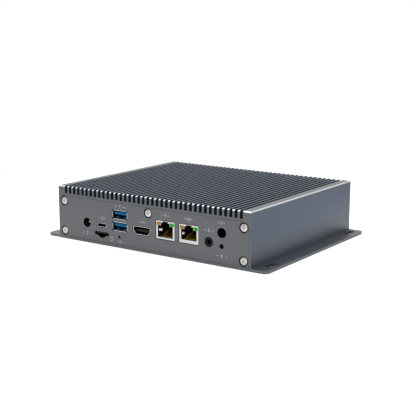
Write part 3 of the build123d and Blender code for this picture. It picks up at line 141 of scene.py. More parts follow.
class Graph:
    """Adds nodes to a shader's tree and links them."""

    def __init__(self, tree: bpy.types.NodeTree) -> None:
        """Takes the tree.

        Args:
            tree: Tree to work in.
        """
        self.tree = tree

    def feed(self, node: bpy.types.Node, inputs: Inputs) -> bpy.types.Node:
        """Links sources to a node's inputs, or sets the inputs where the sources are plain values.

        Args:
            node: Node that takes them.
            inputs: Name or number of each input, and its source.

        Returns:
            The node.
        """
        for key, source in inputs.items():
            if isinstance(source, Socket):
                self.tree.links.new(source, node.inputs[key])
            else:
                node.inputs[key].default_value = source
        return node

    def add(self, kind: str, inputs: Inputs | None = None, **settings: str | int) -> bpy.types.Node:
        """Adds a node.

        Args:
            kind: Its kind, without the word that all shader nodes start with.
            inputs: Sources for its inputs.
            **settings: Its own settings.

        Returns:
            The node.
        """
        node = self.tree.nodes.new(f"ShaderNode{kind}")
        for name, value in settings.items():
            setattr(node, name, value)
        return self.feed(node, inputs or {})

    def sum(self, operation: str, first: Source, second: Source = 0.0) -> Socket:
        """Joins two levels with a sum such as ADD or MAXIMUM."""
        return self.add("Math", {0: first, 1: second}, operation=operation).outputs["Value"]

    def times(self, first: Source, *others: Source) -> Socket:
        """Multiplies levels with each other."""
        for other in others:
            first = self.sum("MULTIPLY", first, other)
        return first

    def absolute(self, source: Source) -> Socket:
        """Drops the sign of a level."""
        return self.sum("ABSOLUTE", source)

    def level(self, source: Source, low: float, high: float, start: float = 0.0, end: float = 1.0) -> Socket:
        """Maps a level from one range to another, and holds it there.

        Args:
            source: Level to map.
            low: Result where the level is start.
            high: Result where the level is end.
            start: First end of the source's range.
            end: Other end of the source's range.

        Returns:
            The mapped level.
        """
        inputs = dict(enumerate((source, start, end, low, high)))
        return self.add("MapRange", inputs).outputs["Result"]

    def seen(self) -> Socket:
        """Gives 1 to the camera and to reflections, and 0 to the light that falls on things."""
        path = self.add("LightPath")
        return self.sum("MAXIMUM", path.outputs["Is Camera Ray"], path.outputs["Is Glossy Ray"])


class Paint(Graph):
    """Builds one material: its shader, and the textures that feed it, all placed by object coordinates."""

    def __init__(self, name: str) -> None:
        """Starts a material with a plain shader.

        Args:
            name: Name of the material.
        """
        self.material = bpy.data.materials.new(name)
        self.material.use_nodes = True
        super().__init__(self.material.node_tree)
        self.shader = self.tree.nodes["Principled BSDF"]
        self.place = self.add("TexCoord")

    def set(self, **values: Source) -> None:
        """Sets sockets of the shader to plain values, or links textures to them.

        Args:
            **values: Socket names with underscores for spaces, and their values or sources.
        """
        self.feed(self.shader, {name.replace("_", " "): value for name, value in values.items()})

    def noise(self, size: float, detail: float = 3.0, stretch: Point = (1.0, 1.0, 1.0)) -> Socket:
        """Adds a noise texture.

        Args:
            size: Size of its larger spots in millimetres.
            detail: Number of finer layers.
            stretch: Factor for each axis.

        Returns:
            Its level from 0 to 1.
        """
        mapped = self.add("Mapping", {"Vector": self.place.outputs["Object"], "Scale": stretch})
        inputs = {"Vector": mapped.outputs["Vector"], "Scale": 1 / (size * MM), "Detail": detail}
        return self.add("TexNoise", inputs).outputs["Fac"]

    def cells(self, size: float, feature: str = "F1") -> Socket:
        """Adds a texture of small cells.

        Args:
            size: Size of a cell in millimetres.
            feature: F1 for distances to the cells' middles, DISTANCE_TO_EDGE for those to their edges.

        Returns:
            The distance.
        """
        inputs = {"Vector": self.place.outputs["Object"], "Scale": 1 / (size * MM)}
        return self.add("TexVoronoi", inputs, feature=feature).outputs["Distance"]

    def lines(self, pitch: float, waver: float) -> Socket:
        """Adds parallel lines that follow each other along X.

        Args:
            pitch: Distance between lines in millimetres.
            waver: How far the lines wander.

        Returns:
            Their level from 0 to 1.
        """
        scale = WAVE_SCALE / (pitch * MM)
        inputs = {"Vector": self.place.outputs["Object"], "Scale": scale, "Distortion": waver}
        return self.add("TexWave", inputs, bands_direction="X").outputs["Fac"]

    def step(self, place: Socket, start: float, end: float, low: float = 0.0, high: float = 1.0) -> Socket:
        """Gives a level that goes from low to high between two places.

        Args:
            place: Place in metres.
            start: Place in millimetres where the level is low.
            end: Place in millimetres where the level is high.
            low: First level.
            high: Second level.

        Returns:
            The level.
        """
        return self.level(place, low, high, start * MM, end * MM)

    def blend(self, share: Source, first: Source, second: Source) -> Socket:
        """Mixes two colours.

        Args:
            share: How much of the second colour shows.
            first: Colour at 0.
            second: Colour at 1.

        Returns:
            The mixed colour.
        """
        return self.add("Mix", {0: share, 6: first, 7: second}, data_type="RGBA").outputs[2]

    def facing(self, axis: str) -> Socket:
        """Gives how far the surface's own direction points along an axis."""
        return self.add("SeparateXYZ", {"Vector": self.place.outputs["Normal"]}).outputs[axis]

    def along(self, axis: str) -> Socket:
        """Gives the place along an axis in metres."""
        return self.add("SeparateXYZ", {"Vector": self.place.outputs["Object"]}).outputs[axis]

    def rounded(self, radius: float) -> Socket:
        """Gives a surface direction that rounds sharp edges by a radius in millimetres."""
        return self.add("Bevel", {"Radius": radius * MM}, samples=4).outputs["Normal"]

    def edge_wear(self, rounded: Socket) -> Socket:
        """Gives a level that rises near sharp edges.

        Args:
            rounded: Surface direction with its edges rounded.

        Returns:
            The level, 0 on flat faces and up to 1 at edges.
        """
        true = self.add("NewGeometry").outputs["True Normal"]
        dot = self.add("VectorMath", {0: rounded, 1: true}, operation="DOT_PRODUCT")
        return self.level(dot.outputs["Value"], 1.0, 0.0, 0.75, 0.995)

    def bump(self, height: Socket, depth: float, under: Socket | None = None) -> Socket:
        """Turns a level into relief.

        Args:
            height: Level from 0 to 1.
            depth: Depth of the relief in millimetres.
            under: Surface direction that the relief lies on.

        Returns:
            The surface direction with the relief.
        """
        inputs = {"Distance": depth * MM, "Height": height} | ({} if under is None else {"Normal": under})
        return self.add("Bump", inputs).outputs["Normal"]


@dataclass(frozen=True)
class Finish:
    """A finish, which becomes a material when it is first taken."""

    name: str

    def make(self) -> bpy.types.Material:
        """Makes the material.

        Returns:
            The material.
        """
        paint = Paint(self.name)
        self.coat(paint)
        return paint.material

    def coat(self, paint: Paint) -> None:
        """Sets up the shader, each finish in its own way.

        Args:
            paint: Material being made.
        """
        raise NotImplementedError


@dataclass(frozen=True)
class Anodised(Finish):
    """Bead-blasted and anodised aluminium, worn bare along its edges."""

    colour: Colour = srgb(95, 97, 100)
    bare: Colour = srgb(198, 199, 200)
    cloud_share: float = 0.9
    edge_radius: float = 0.12

    def coat(self, paint: Paint) -> None:
        """Lays the tone, its clouds and the blasted grain."""
        cloud = tuple(value * self.cloud_share for value in self.colour[:3]) + (1.0,)
        tone = paint.blend(paint.noise(9.0, 4.0), cloud, self.colour)
        rounded = paint.rounded(self.edge_radius)
        worn = paint.level(paint.edge_wear(rounded), 0.0, 0.18)
        paint.set(
            Metallic=0.85,
            Base_Color=self.local(paint, paint.blend(worn, tone, self.bare)),
            Roughness=paint.level(paint.noise(0.6), 0.4, 0.5),
            Normal=paint.bump(paint.noise(0.12, 2.0), 0.012, rounded),
        )

    def local(self, paint: Paint, tone: Socket) -> Socket:
        """Changes the tone where the part's own shape asks for it.

        Args:
            paint: Material being made.
            tone: Its tone.

        Returns:
            The tone to use.
        """
        raise NotImplementedError


@dataclass(frozen=True)
class AnodisedCover(Anodised):
    """The cover's anodising, with painted shade: navy in the grooves and on the outer side walls, and darker
    fin tops. The bevels are painted in the light bare tone, bare metal with a painted highlight.
    """

    # navy and steel are painted shade tones for the side walls, the grooves and the fin tops.
    navy: Colour = srgb(60, 76, 100)
    steel: Colour = srgb(57, 64, 75)
    groove_floor: float = 33.9
    half_width: float = 83.5
    fins_reach: float = 76.4
    grooves_below: float = 35.0
    bevels_above: float = 36.0

    def local(self, paint: Paint, tone: Socket) -> Socket:
        """Paints shade onto the outer side walls, most towards their top, into the grooves and onto the fin
        tops, and paints the bevels in the light bare tone that also stands for their highlight.
        """
        height, rise = paint.along("Z"), paint.facing("Z")
        across = paint.absolute(paint.along("X"))
        outer = paint.step(across, self.half_width - 0.3, self.half_width - 0.1)
        walls = paint.level(paint.absolute(paint.facing("X")), 0.0, 1.0, 0.85, 0.95)
        # Painted shade: the outer side walls blend towards navy, more towards their top.
        shade = paint.step(height, 3.0, 26.0, 0.15, 0.62)
        tone = paint.blend(paint.times(walls, outer, shade), tone, self.navy)
        # Painted shade: the groove walls and the upward faces below the grooves' rim, the groove floors,
        # take the navy.
        above = paint.step(height, self.groove_floor + 0.1, self.groove_floor + 0.4, 0.0, 0.9)
        inside = paint.times(walls, above, paint.sum("SUBTRACT", 1.0, outer))
        upward = paint.level(rise, 0.0, 0.95, 0.9, 0.95)
        low = paint.times(upward, paint.step(height, self.grooves_below, self.grooves_below + 1.0, 1.0, 0.0))
        # Painted shade: the fin tops take a darker steel tone than the rail tops.
        fin_top_shade = paint.times(upward, paint.step(across, self.fins_reach, self.fins_reach + 0.4, 1.0, 0.0))
        tone = paint.blend(fin_top_shade, tone, self.steel)
        tone = paint.blend(paint.sum("MAXIMUM", inside, low), tone, self.navy)
        # Bare metal with a painted highlight: the sloped top bevels take the light bare tone.
        slope = paint.times(paint.level(rise, 0.0, 1.0, 0.6, 0.66), paint.level(rise, 1.0, 0.0, 0.76, 0.82))
        bare_highlit_bevels = paint.times(slope, paint.step(height, self.bevels_above, self.bevels_above + 0.4))
        return paint.blend(bare_highlit_bevels, tone, self.bare)


@dataclass(frozen=True)
class AnodisedPlate(Anodised):
    """The base plate's anodising, with painted shade, a little bluer, on top of the right flange beside the
    cover.
    """

    reach: float = 84.0
    shaded: Colour = srgb(90, 98, 110)

    def local(self, paint: Paint, tone: Socket) -> Socket:
        """Paints shade on top of the right flange, strongest at its front."""
        upward = paint.level(paint.facing("Z"), 0.0, 0.9, 0.9, 0.95)
        right = paint.step(paint.along("X"), 0.0, self.reach)
        front = paint.step(paint.along("Y"), -10.0, 60.0, 1.0, 0.0)
        return paint.blend(paint.times(upward, right, front), tone, self.shaded)


@dataclass(frozen=True)
class AnodisedPanel(Anodised):
    """A panel's anodising, with painted shade: the walls and floors of its holes are nearly black."""

    black: Colour = srgb(12, 13, 15)
    dark_behind: float = 70.38

    def local(self, paint: Paint, tone: Socket) -> Socket:
        """Paints shade on what lies behind the panel's face."""
        depth = paint.absolute(paint.along("Y"))
        share = paint.step(depth, self.dark_behind - 0.2, self.dark_behind, 0.88, 0.0)
        return paint.blend(share, tone, self.black)


@dataclass(frozen=True)
class Plated(Finish):
    """Bright plated or bare metal, with faint drawing marks and cloudy gloss."""

    colour: Colour
    shade: Colour
    gloss: tuple[float, float] = (0.16, 0.32)
    edge_radius: float = 0.08
    marks: Point = (1.0, 1.0, 1.0)
    # mouth and deep give the painted shade inside the sockets' mouths.
    mouth: float = 0.0
    deep: Colour = srgb(30, 32, 35)

    def coat(self, paint: Paint) -> None:
        """Lays the metal, with painted shade in the mouths of the sockets."""
        tone = paint.blend(paint.noise(2.2, 5.0), self.shade, self.colour)
        # Painted shade: inside a socket's mouth the metal blends towards the deep tone, from just behind the
        # front to a few millimetres in.
        if self.mouth:
            depth = paint.along("Y")
            shade_from_front = paint.step(depth, -70.25, -69.8, 0.0, self.mouth)
            rear = paint.step(depth, -66.0, -62.0, self.mouth, 0.0)
            tone = paint.blend(paint.sum("MINIMUM", shade_from_front, rear), tone, self.deep)
        marks = paint.noise(0.5, 4.0, self.marks)
        paint.set(
            Metallic=1.0,
            Base_Color=tone,
            Roughness=paint.level(marks, *self.gloss, 0.3, 0.7),
            Normal=paint.bump(marks, 0.006, paint.rounded(self.edge_radius)),
        )


@dataclass(frozen=True)
class Moulded(Finish):
    """Moulded plastic with a fine spark-eroded grain and slightly rubbed edges."""

    colour: Colour
    rubbed: Colour
    gloss: tuple[float, float] = (0.38, 0.52)
    grain: float = 0.15
    shine: float = 0.4

    def coat(self, paint: Paint) -> None:
        """Lays the plastic, its rubbed edges and its grain."""
        rounded = paint.rounded(0.08)
        worn = paint.level(paint.edge_wear(rounded), 0.0, 0.3)
        cloud = paint.level(paint.noise(3.0, 4.0), 0.0, 0.16, 0.4, 0.8)
        paint.set(
            Specular_IOR_Level=self.shine,
            Base_Color=paint.blend(paint.sum("MAXIMUM", cloud, worn), self.colour, self.rubbed),
            Roughness=paint.level(paint.noise(0.8), *self.gloss),
            Normal=paint.bump(paint.noise(self.grain, 2.0), 0.01, rounded),
        )


@dataclass(frozen=True)
class Lens(Finish):
    """Glossy tinted lens, a little milky inside."""

    colour: Colour
    deep: Colour

    def coat(self, paint: Paint) -> None:
        """Lays the tint and a thin gloss."""
        milky = paint.level(paint.noise(0.9), 0.0, 1.0, 0.3, 0.7)
        paint.set(IOR=1.4, Specular_IOR_Level=0.12, Coat_Weight=0.03, Coat_Roughness=0.1)
        paint.set(
            Base_Color=paint.blend(milky, self.deep, self.colour),
            Roughness=paint.level(paint.noise(0.4), 0.14, 0.24),
            Normal=paint.bump(paint.noise(0.3, 2.0), 0.004),
        )


@dataclass(frozen=True)
class SolderMask(Finish):
    """Circuit board: lacquer over copper tracks, with bare laminate at its edges."""

    colour: Colour
    track: Colour
    edge: Colour

    def coat(self, paint: Paint) -> None:
        """Lays the lacquer, with broad tracks everywhere and fine ones in patches."""
        tracks = paint.level(paint.cells(3.1, "DISTANCE_TO_EDGE"), 1.0, 0.0, 0.05, 0.09)
        fine = paint.level(paint.cells(0.9, "DISTANCE_TO_EDGE"), 1.0, 0.0, 0.07, 0.12)
        patches = paint.level(paint.noise(14.0, 1.0), 0.0, 1.0, 0.48, 0.52)
        lines = paint.sum("MAXIMUM", tracks, paint.times(fine, patches))
        face = paint.blend(paint.level(lines, 0.0, 0.8), self.colour, self.track)
        flat = paint.level(paint.absolute(paint.facing("Z")), 0.0, 1.0, 0.4, 0.6)
        paint.set(
            Coat_Weight=0.5, Coat_Roughness=0.2,
            Base_Color=paint.blend(flat, self.edge, face),
            Roughness=paint.level(paint.noise(1.2), 0.3, 0.42),
            Normal=paint.bump(lines, 0.03),
        )


@dataclass(frozen=True)
class SoftPad(Finish):
    """Thermal pad: soft filled rubber with small grains in it."""

    colour: Colour
    grain: Colour

    def coat(self, paint: Paint) -> None:
        """Lays the rubber and its grains."""
        grains = paint.level(paint.cells(0.35), 1.0, 0.0, 0.0, 0.5)
        paint.set(
            Base_Color=paint.blend(paint.level(grains, 0.0, 0.5), self.colour, self.grain),
            Roughness=paint.level(paint.noise(0.8), 0.7, 0.85),
            Normal=paint.bump(grains, 0.03),
        )


@dataclass(frozen=True)
class Milled(Finish):
    """Milled aluminium with the fine lines of the cutter."""

    colour: Colour
    shade: Colour

    def coat(self, paint: Paint) -> None:
        """Lays the metal and the cutter's lines."""
        passes = paint.lines(0.6, 1.5)
        paint.set(
            Metallic=1.0,
            Base_Color=paint.blend(paint.level(passes, 0.0, 0.7), self.colour, self.shade),
            Roughness=paint.level(passes, 0.25, 0.4),
            Normal=paint.bump(passes, 0.01, paint.rounded(0.1)),
        )


@dataclass(frozen=True)
class Ink(Finish):
    """Printed ink, slightly uneven where it meets the grain under it."""

    colour: Colour
    thin: Colour

    def coat(self, paint: Paint) -> None:
        """Lays the ink, thinner in spots."""
        spots = paint.level(paint.noise(0.14), 0.0, 1.0, 0.52, 0.75)
        paint.set(
            Base_Color=paint.blend(spots, self.colour, self.thin),
            Roughness=paint.level(paint.noise(0.5), 0.5, 0.65),
            Normal=paint.bump(paint.noise(0.1, 2.0), 0.006),
        )


COVER = AnodisedCover("anodised_cover")
PANEL = AnodisedPanel("anodised_panel")
PLATE = AnodisedPlate("anodised_plate")
NICKEL = Plated("nickel_steel", srgb(196, 195, 191), srgb(150, 149, 146))
# Its last value, 0.88, is how much painted shade darkens the sockets' mouths.
TINNED = Plated(
    "tinned_sheet", srgb(196, 197, 196), srgb(164, 165, 166), (0.22, 0.38), 0.1, (1.0, 0.25, 1.0), 0.88
)
SPRING = Plated("bright_spring", srgb(190, 190, 188), srgb(150, 151, 152), (0.2, 0.34))
GOLD = Plated("gold_contact", srgb(190, 150, 66), srgb(140, 106, 40))
BLACK = Moulded("black_moulding", srgb(12, 13, 14), srgb(28, 29, 31), (0.6, 0.75), shine=0.25)
CHARCOAL = Moulded("charcoal_moulding", srgb(12, 13, 15), srgb(28, 30, 33), (0.5, 0.65), shine=0.15)
BLUE = Moulded("blue_moulding", srgb(8, 84, 126), srgb(26, 108, 152), (0.4, 0.52), shine=0.1)
# Painted shade: the contact bed is a darker, shaded copy of the gold contacts' colour.
SHADED_GOLD = Moulded("shaded_gold_bed", srgb(118, 96, 26), srgb(134, 110, 40), shine=0.15)
BLANK = Moulded("card_blank", srgb(38, 39, 42), srgb(62, 64, 68), (0.5, 0.65), shine=0.3)
AMBER = Lens("amber_lens", srgb(164, 124, 0), srgb(138, 100, 0))
GREEN = Lens("green_lens", srgb(0, 164, 0), srgb(0, 134, 0))
DARK = Lens("dark_lens", srgb(16, 17, 19), srgb(8, 9, 10))
BOARD = SolderMask("circuit_board", srgb(14, 44, 34), srgb(30, 78, 58), srgb(120, 112, 70))
CHIP = Moulded("chip_package", srgb(20, 21, 23), srgb(48, 49, 52), (0.45, 0.6), 0.1)
PAD = SoftPad("thermal_pad", srgb(120, 128, 134), srgb(160, 166, 170))
MILLED = Milled("milled_aluminium", srgb(190, 191, 192), srgb(152, 154, 156))
SLEEVE = Moulded("capacitor_sleeve", srgb(22, 24, 40), srgb(48, 50, 70), (0.3, 0.42))
PRINT = Ink("printed_mark", srgb(176, 178, 178), srgb(130, 132, 133))


class Rack:
    """Keeps each finish's material, so that it is made once."""

    def __init__(self) -> None:
        """Starts with no material made."""
        self.made: dict[Finish, bpy.types.Material] = {}

    def take(self, finish: Finish) -> bpy.types.Material:
        """Gives a finish's material, and makes it the first time.

        Args:
            finish: Finish to take.

        Returns:
            The material.
        """
        if finish not in self.made:
            self.made[finish] = finish.make()
        return self.made[finish]

    def dress(self, finish: Finish, *nodes: str) -> None:
        """Gives carried nodes a finish, and leaves their shape alone.

        Args:
            finish: Finish for the nodes.
            *nodes: Names of the nodes.
        """
        for name in nodes:
            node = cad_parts[name]
            for holder in node.material_slots:
                holder.material = self.take(finish)
            if not node.material_slots:
                node.data.materials.append(self.take(finish))
            log.info("finish %s on %s", finish.name, name)


RACK = Rack()


class Workpiece:
    """A new piece on the bench. It starts as a primitive, and each method is one operation on it."""

    def __init__(self, name: str) -> None:
        """Takes the primitive that was just added.

        Args:
            name: Name of the piece.
        """
        self.body = bpy.context.object
        self.body.name = name
        self.body.data.name = name
        self.settle()

    @staticmethod
    def clear() -> None:
        """Leaves nothing selected on the bench."""
        if bpy.context.object and bpy.context.object.mode != "OBJECT":
            bpy.ops.object.mode_set(mode="OBJECT")
        bpy.ops.object.select_all(action="DESELECT")

    @classmethod
    def slab(cls, name: str, middle: Point, size: Point) -> "Workpiece":
        """Starts from a block about its middle.

        Args:
            name: Name of the piece.
            middle: Middle of the block.
            size: Its size along each axis.

        Returns:
            The piece.
        """
        cls.clear()
        bpy.ops.mesh.primitive_cube_add(size=1, location=at(middle))
        bpy.ops.transform.resize(value=at(size))
        return cls(name)

    @classmethod
    def block(cls, name: str, low: Point, size: Point) -> "Workpiece":
        """Starts from a block on its lowest corner."""
        return cls.slab(name, Vector(low) + Vector(size) / 2, size)

    @classmethod
    def turned(cls, name: str, centre: Point, axis: Axis, profile: Steps, sides: int) -> "Workpiece":
        """Turns a round piece by extruding a disc in steps along its axis.

        Args:
            name: Name of the piece.
            centre: Place on the axis that the steps are measured from.
            axis: Direction that the steps follow.
            profile: Steps, each its distance along the axis and its radius.
            sides: Number of sides.

        Returns:
            The piece.
        """
        cls.clear()
        last, radius = profile[0]
        start = at(Vector(centre) + axis.way * last)
        bpy.ops.mesh.primitive_circle_add(
            vertices=sides, radius=radius * MM, fill_type="NGON", location=start, rotation=axis.value[1]
        )
        piece = cls(name).pick_all()
        for distance, wide in profile[1:]:
            piece.extrude(axis.way * (distance - last))
            piece.shrink(axis.across(wide / radius), Vector(centre) + axis.way * distance)
            last, radius = distance, wide
        return piece.settle()

    @classmethod
    def strip(
        cls, name: str, path: Sequence[Point], across: Point, sheet: float, bevel: float
    ) -> "Workpiece":
        """Folds a strip of sheet along a path of points.

        Args:
            name: Name of the piece.
            path: Points along one edge of the strip's middle surface.
            across: Width of the strip, as a step from one of its edges to the other.
            sheet: Thickness of the sheet.
            bevel: Radius of its rounded edges.

        Returns:
            The piece.
        """
        cls.clear()
        bpy.ops.mesh.primitive_plane_add(size=1)
        piece = cls(name).edit()
        mesh = bmesh.from_edit_mesh(piece.body.data)
        first, second = Vector(path[0]), Vector(path[1])
        corners = (first, first + Vector(across), second + Vector(across), second)
        for vertex, corner in zip(mesh.faces[:][0].verts, corners):
            vertex.co = at(corner)
        bmesh.update_edit_mesh(piece.body.data)
        middle = second + Vector(across) / 2
        for point in path[2:]:
            piece.pick("EDGE", lambda spot, _, end=middle: (spot - end).length < 0.002)
            step = Vector(point) + Vector(across) / 2 - middle
            bpy.ops.mesh.extrude_edges_move(TRANSFORM_OT_translate={"value": at(step)})
            middle = middle + step
        return piece.modify("SOLIDIFY", thickness=sheet * MM, offset=0.0).soften(bevel)

    @classmethod
    def leaf(
        cls, name: str, corner: tuple[float, float], steps: Steps, width: float,
        sheet: float = 0.14, bevel: float = 0.04,
    ) -> "Workpiece":
        """Folds a leaf spring that runs in depth.

        Args:
            name: Name of the piece.
            corner: X of its left edge, and the height that the steps rise from.
            steps: Points along it, each its Y and its rise.
            width: Its width.
            sheet: Thickness of its sheet.
            bevel: Radius of its rounded edges.

        Returns:
            The piece.
        """
        path = [(corner[0], y, corner[1] + rise) for y, rise in steps]
        return cls.strip(name, path, (width, 0, 0), sheet, bevel)

    def take(self) -> "Workpiece":
        """Selects this piece alone."""
        self.clear()
        bpy.context.view_layer.objects.active = self.body
        self.body.select_set(True)
        return self

    def edit(self) -> "Workpiece":
        """Opens the piece for editing."""
        if self.body.mode != "EDIT":
            self.take()
            bpy.ops.object.mode_set(mode="EDIT")
        return self

    def settle(self) -> "Workpiece":
        """Closes the piece after editing, and puts its place into its mesh."""
        self.take()
        bpy.ops.object.transform_apply(location=True, rotation=True, scale=True)
        return self

    def pick_all(self) -> "Workpiece":
        """Selects everything."""
        self.edit()
        bpy.ops.mesh.select_all(action="SELECT")
        return self

    def pick(self, kind: str, test: Callable[[Vector, Vector], bool]) -> "Workpiece":
        """Selects faces or edges.

        Args:
            kind: FACE or EDGE.
            test: Says whether to take one, from its middle in millimetres and its direction.

        Returns:
            The piece.
        """
        self.edit()
        bpy.ops.mesh.select_mode(type=kind)
        bpy.ops.mesh.select_all(action="DESELECT")
        mesh = bmesh.from_edit_mesh(self.body.data)
        if kind == "FACE":
            mesh.normal_update()
        for part in mesh.faces if kind == "FACE" else mesh.edges:
            ends = [vertex.co for vertex in part.verts]
            way = part.normal if kind == "FACE" else (ends[1] - ends[0]).normalized()
            if test(sum(ends, Vector()) / len(ends) / MM, way):
                part.select_set(True)
        bmesh.update_edit_mesh(self.body.data)
        return self

    def pick_side(self, way: Vector) -> "Workpiece":
        """Selects the faces that look in a direction."""
        return self.pick("FACE", lambda _, normal: normal.dot(way) > 0.9)

    def extrude(self, step: Point) -> "Workpiece":
        """Extrudes what is selected by a step in millimetres."""
        bpy.ops.mesh.extrude_region_move(TRANSFORM_OT_translate={"value": at(step)})
        return self

    def inset(self, width: float, depth: float = 0.0) -> "Workpiece":
        """Insets the selected faces, and lifts them by a depth."""
        bpy.ops.mesh.inset(thickness=width * MM, depth=depth * MM)
        return self

    def bevel(self, width: float, segments: int) -> "Workpiece":
        """Bevels the selected edges."""
        bpy.ops.mesh.bevel(offset=width * MM, segments=segments, affect="EDGES")
        return self

    def shrink(self, factors: Point, centre: Point) -> "Workpiece":
        """Scales what is selected about a place."""
        bpy.ops.transform.resize(value=factors, center_override=at(centre))
        return self

    def modify(self, kind: str, **values: object) -> "Workpiece":
        """Adds a modifier and applies it.

        Args:
            kind: Kind of modifier.
            **values: Its settings.

        Returns:
            The piece.
        """
        self.settle()
        modifier = self.body.modifiers.new(kind.title(), kind)
        for name, value in values.items():
            setattr(modifier, name, value)
        bpy.ops.object.modifier_apply(modifier=modifier.name)
        return self

    def soften(self, width: float) -> "Workpiece":
        """Rounds the sharp edges of the whole piece."""
        limit = {"limit_method": "ANGLE", "angle_limit": ROUNDED_ANGLE}
        return self.modify("BEVEL", width=width * MM, segments=2, **limit)

    def repeat(self, count: int, pitch: float) -> "Workpiece":
        """Lays copies in a row along X, all in this piece's mesh."""
        offset = {"use_relative_offset": False, "use_constant_offset": True}
        return self.modify("ARRAY", count=count, constant_offset_displace=at((pitch, 0, 0)), **offset)

    def cut(self, *cutters: "Workpiece") -> "Workpiece":
        """Cuts other pieces out of this one and throws them away."""
        self.mend()
        for cutter in cutters:
            cutter.settle()
            self.modify("BOOLEAN", operation="DIFFERENCE", solver="EXACT", object=cutter.body)
            bpy.data.objects.remove(cutter.body, do_unlink=True)
        return self

    def join(self, *others: "Workpiece") -> "Workpiece":
        """Joins other pieces into this one."""
        for other in others:
            other.settle()
        self.settle()
        for other in others:
            other.body.select_set(True)
        bpy.ops.object.join()
        return self

    def mend(self) -> "Workpiece":
        """Merges doubled points and turns every face outwards."""
        self.pick_all()
        bpy.ops.mesh.remove_doubles(threshold=MERGE_DISTANCE)
        bpy.ops.mesh.normals_make_consistent(inside=False)
        return self.settle()

    def done(self, finish: Finish, slot: Slot, replaces: Sequence[str] = ()) -> "Workpiece":
        """Gives the piece its finish and hands it to its body.

        Args:
            finish: Finish of the piece.
            slot: Material slot of the record that it belongs to; not used.
            replaces: Nodes that it stands for.

        Returns:
            The piece.
        """
        self.mend()
        bpy.ops.object.shade_smooth_by_angle(angle=CRISP_ANGLE)
        self.body.data.materials.clear()
        self.body.data.materials.append(RACK.take(finish))
        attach(self.body, Body.ROOT.value)
        if replaces:
            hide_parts(*replaces)
        log.info("piece %s with %d faces", self.body.name, len(self.body.data.polygons))
        return self

    def copy(self, name: str, step: Point) -> "Workpiece":
        """Copies a finished piece, with a mesh of its own.

        Args:
            name: Name of the copy.
            step: How far the copy lies from this piece.

        Returns:
            The copy.
        """
        self.take()
        bpy.ops.object.duplicate(linked=False)
        bpy.ops.transform.translate(value=at(step))
        log.info("piece %s copied from %s", name, self.body.name)
        return Workpiece(name)


def contact_row(
    name: str, low: Point, size: Point, rim: tuple[float, float], count: int, pitch: float
) -> Workpiece:
    """Makes a row of flat contacts whose undersides stand out.

    Args:
        name: Name of the piece.
        low: Lowest corner of the first contact.
        size: Size of each.
        rim: Width of the rim round the raised part, and how far that part stands out.
        count: Number of contacts.
        pitch: Distance from one to the next.

    Returns:
        The row.
    """
    row = Workpiece.block(name, low, size)
    row.pick_side(Axis.DOWN.way).inset(*rim)
    return row.repeat(count, pitch).done(GOLD, Slot.GOLD)


@dataclass
class Enclosure:
    """Cover, panels and base plate, with the screws that hold them."""

    screw_x: float = 78.0
    lower_z: float = 6.1
    upper_z: float = 28.2
    seat_y: float = 69.3
    pan_head: Steps = (
        (-8.0, 1.1), (-7.5, 1.5), (0.0, 1.5),
        (0.0, 2.75), (0.8, 2.75), (1.06, 2.66), (1.26, 2.42), (1.4, 1.96), (1.48, 1.2), (1.5, 0.5),
    )
    pan_mouth: float = 1.5
    sunk_head: Steps = ((-7.0, 1.1), (-6.5, 1.5), (-1.3, 1.5), (-0.1, 2.7), (-0.02, 2.63))
    sunk_mouth: float = 0.02
    arm_length: float = 2.5
    arm_width: float = 0.62
    arm_foot_share: float = 0.55
    recess_depth: float = 0.55
    cutter_rise: float = 0.5
    base_spacing: float = 45.0

    def build(self) -> None:
        """Builds the sub-assembly."""
        RACK.dress(COVER, "heatsink_cover")
        RACK.dress(PANEL, "front_panel", "rear_panel")
        RACK.dress(PLATE, "base_plate")
        for axis, node in ((Axis.FORWARD, "front_panel_screws"), (Axis.BACK, "rear_panel_screws")):
            spots = [
                Vector((x, 0, z)) + axis.way * self.seat_y
                for z in (self.upper_z, self.lower_z) for x in (-self.screw_x, 0.0, self.screw_x)
                if x or z == self.upper_z
            ]
            screw = Workpiece.turned(f"{node}_1", spots[0], axis, self.pan_head, 40)
            self.screws(screw, node, node, axis, self.pan_mouth, spots)
        spots = [
            Vector((side * self.screw_x, row * self.base_spacing, 0))
            for side in (-1, 1) for row in (-1, 0, 1)
        ]
        screw = Workpiece.turned("base_screw_1", spots[0], Axis.DOWN, self.sunk_head, 32)
        self.screws(screw, "base_screws", "base_screw", Axis.DOWN, self.sunk_mouth, spots)

    def screws(
        self, screw: Workpiece, node: str, name: str, axis: Axis, mouth: float, spots: Sequence[Vector]
    ) -> None:
        """Finishes the first screw of a set and copies it to the other places.

        Args:
            screw: The first screw, turned.
            node: Node that the set stands for.
            name: Name of each screw, without its number.
            axis: Direction that the heads face.
            mouth: How far the recess's mouth lies from the seat.
            spots: Places of the seats.
        """
        screw.cut(*self.recess(spots[0] + axis.way * mouth, axis))
        screw.done(NICKEL, Slot.NICKEL, [node])
        for number, spot in enumerate(spots[1:], 2):
            screw.copy(f"{name}_{number}", spot - spots[0])

    def recess(self, centre: Vector, axis: Axis) -> list[Workpiece]:
        """Models the two arms of a cross recess, narrower at their foot.

        Args:
            centre: Middle of the recess's mouth.
            axis: Direction that the screw's face points in.

        Returns:
            The two arms, to be cut out of a head.
        """
        sides = (Vector((1, 0, 0)), axis.way.cross(Vector((1, 0, 0))))
        middle = centre + axis.way * (self.cutter_rise - self.recess_depth) / 2
        depth = axis.way * (self.cutter_rise + self.recess_depth)
        arms = []
        for long, short in (sides, sides[::-1]):
            size = long * self.arm_length + short * self.arm_width + depth
            arm = Workpiece.slab("cross_arm", middle, [abs(part) for part in size])
            arm.pick_side(-axis.way)
            arm.shrink(axis.across(self.arm_foot_share), centre - axis.way * self.recess_depth)
            arms.append(arm)
        return arms


@dataclass(frozen=True)
class Mark:
    """One printed mark: a plain number between two dashes."""

    number: int
    x: float
    z: float
    width: float
    height: float


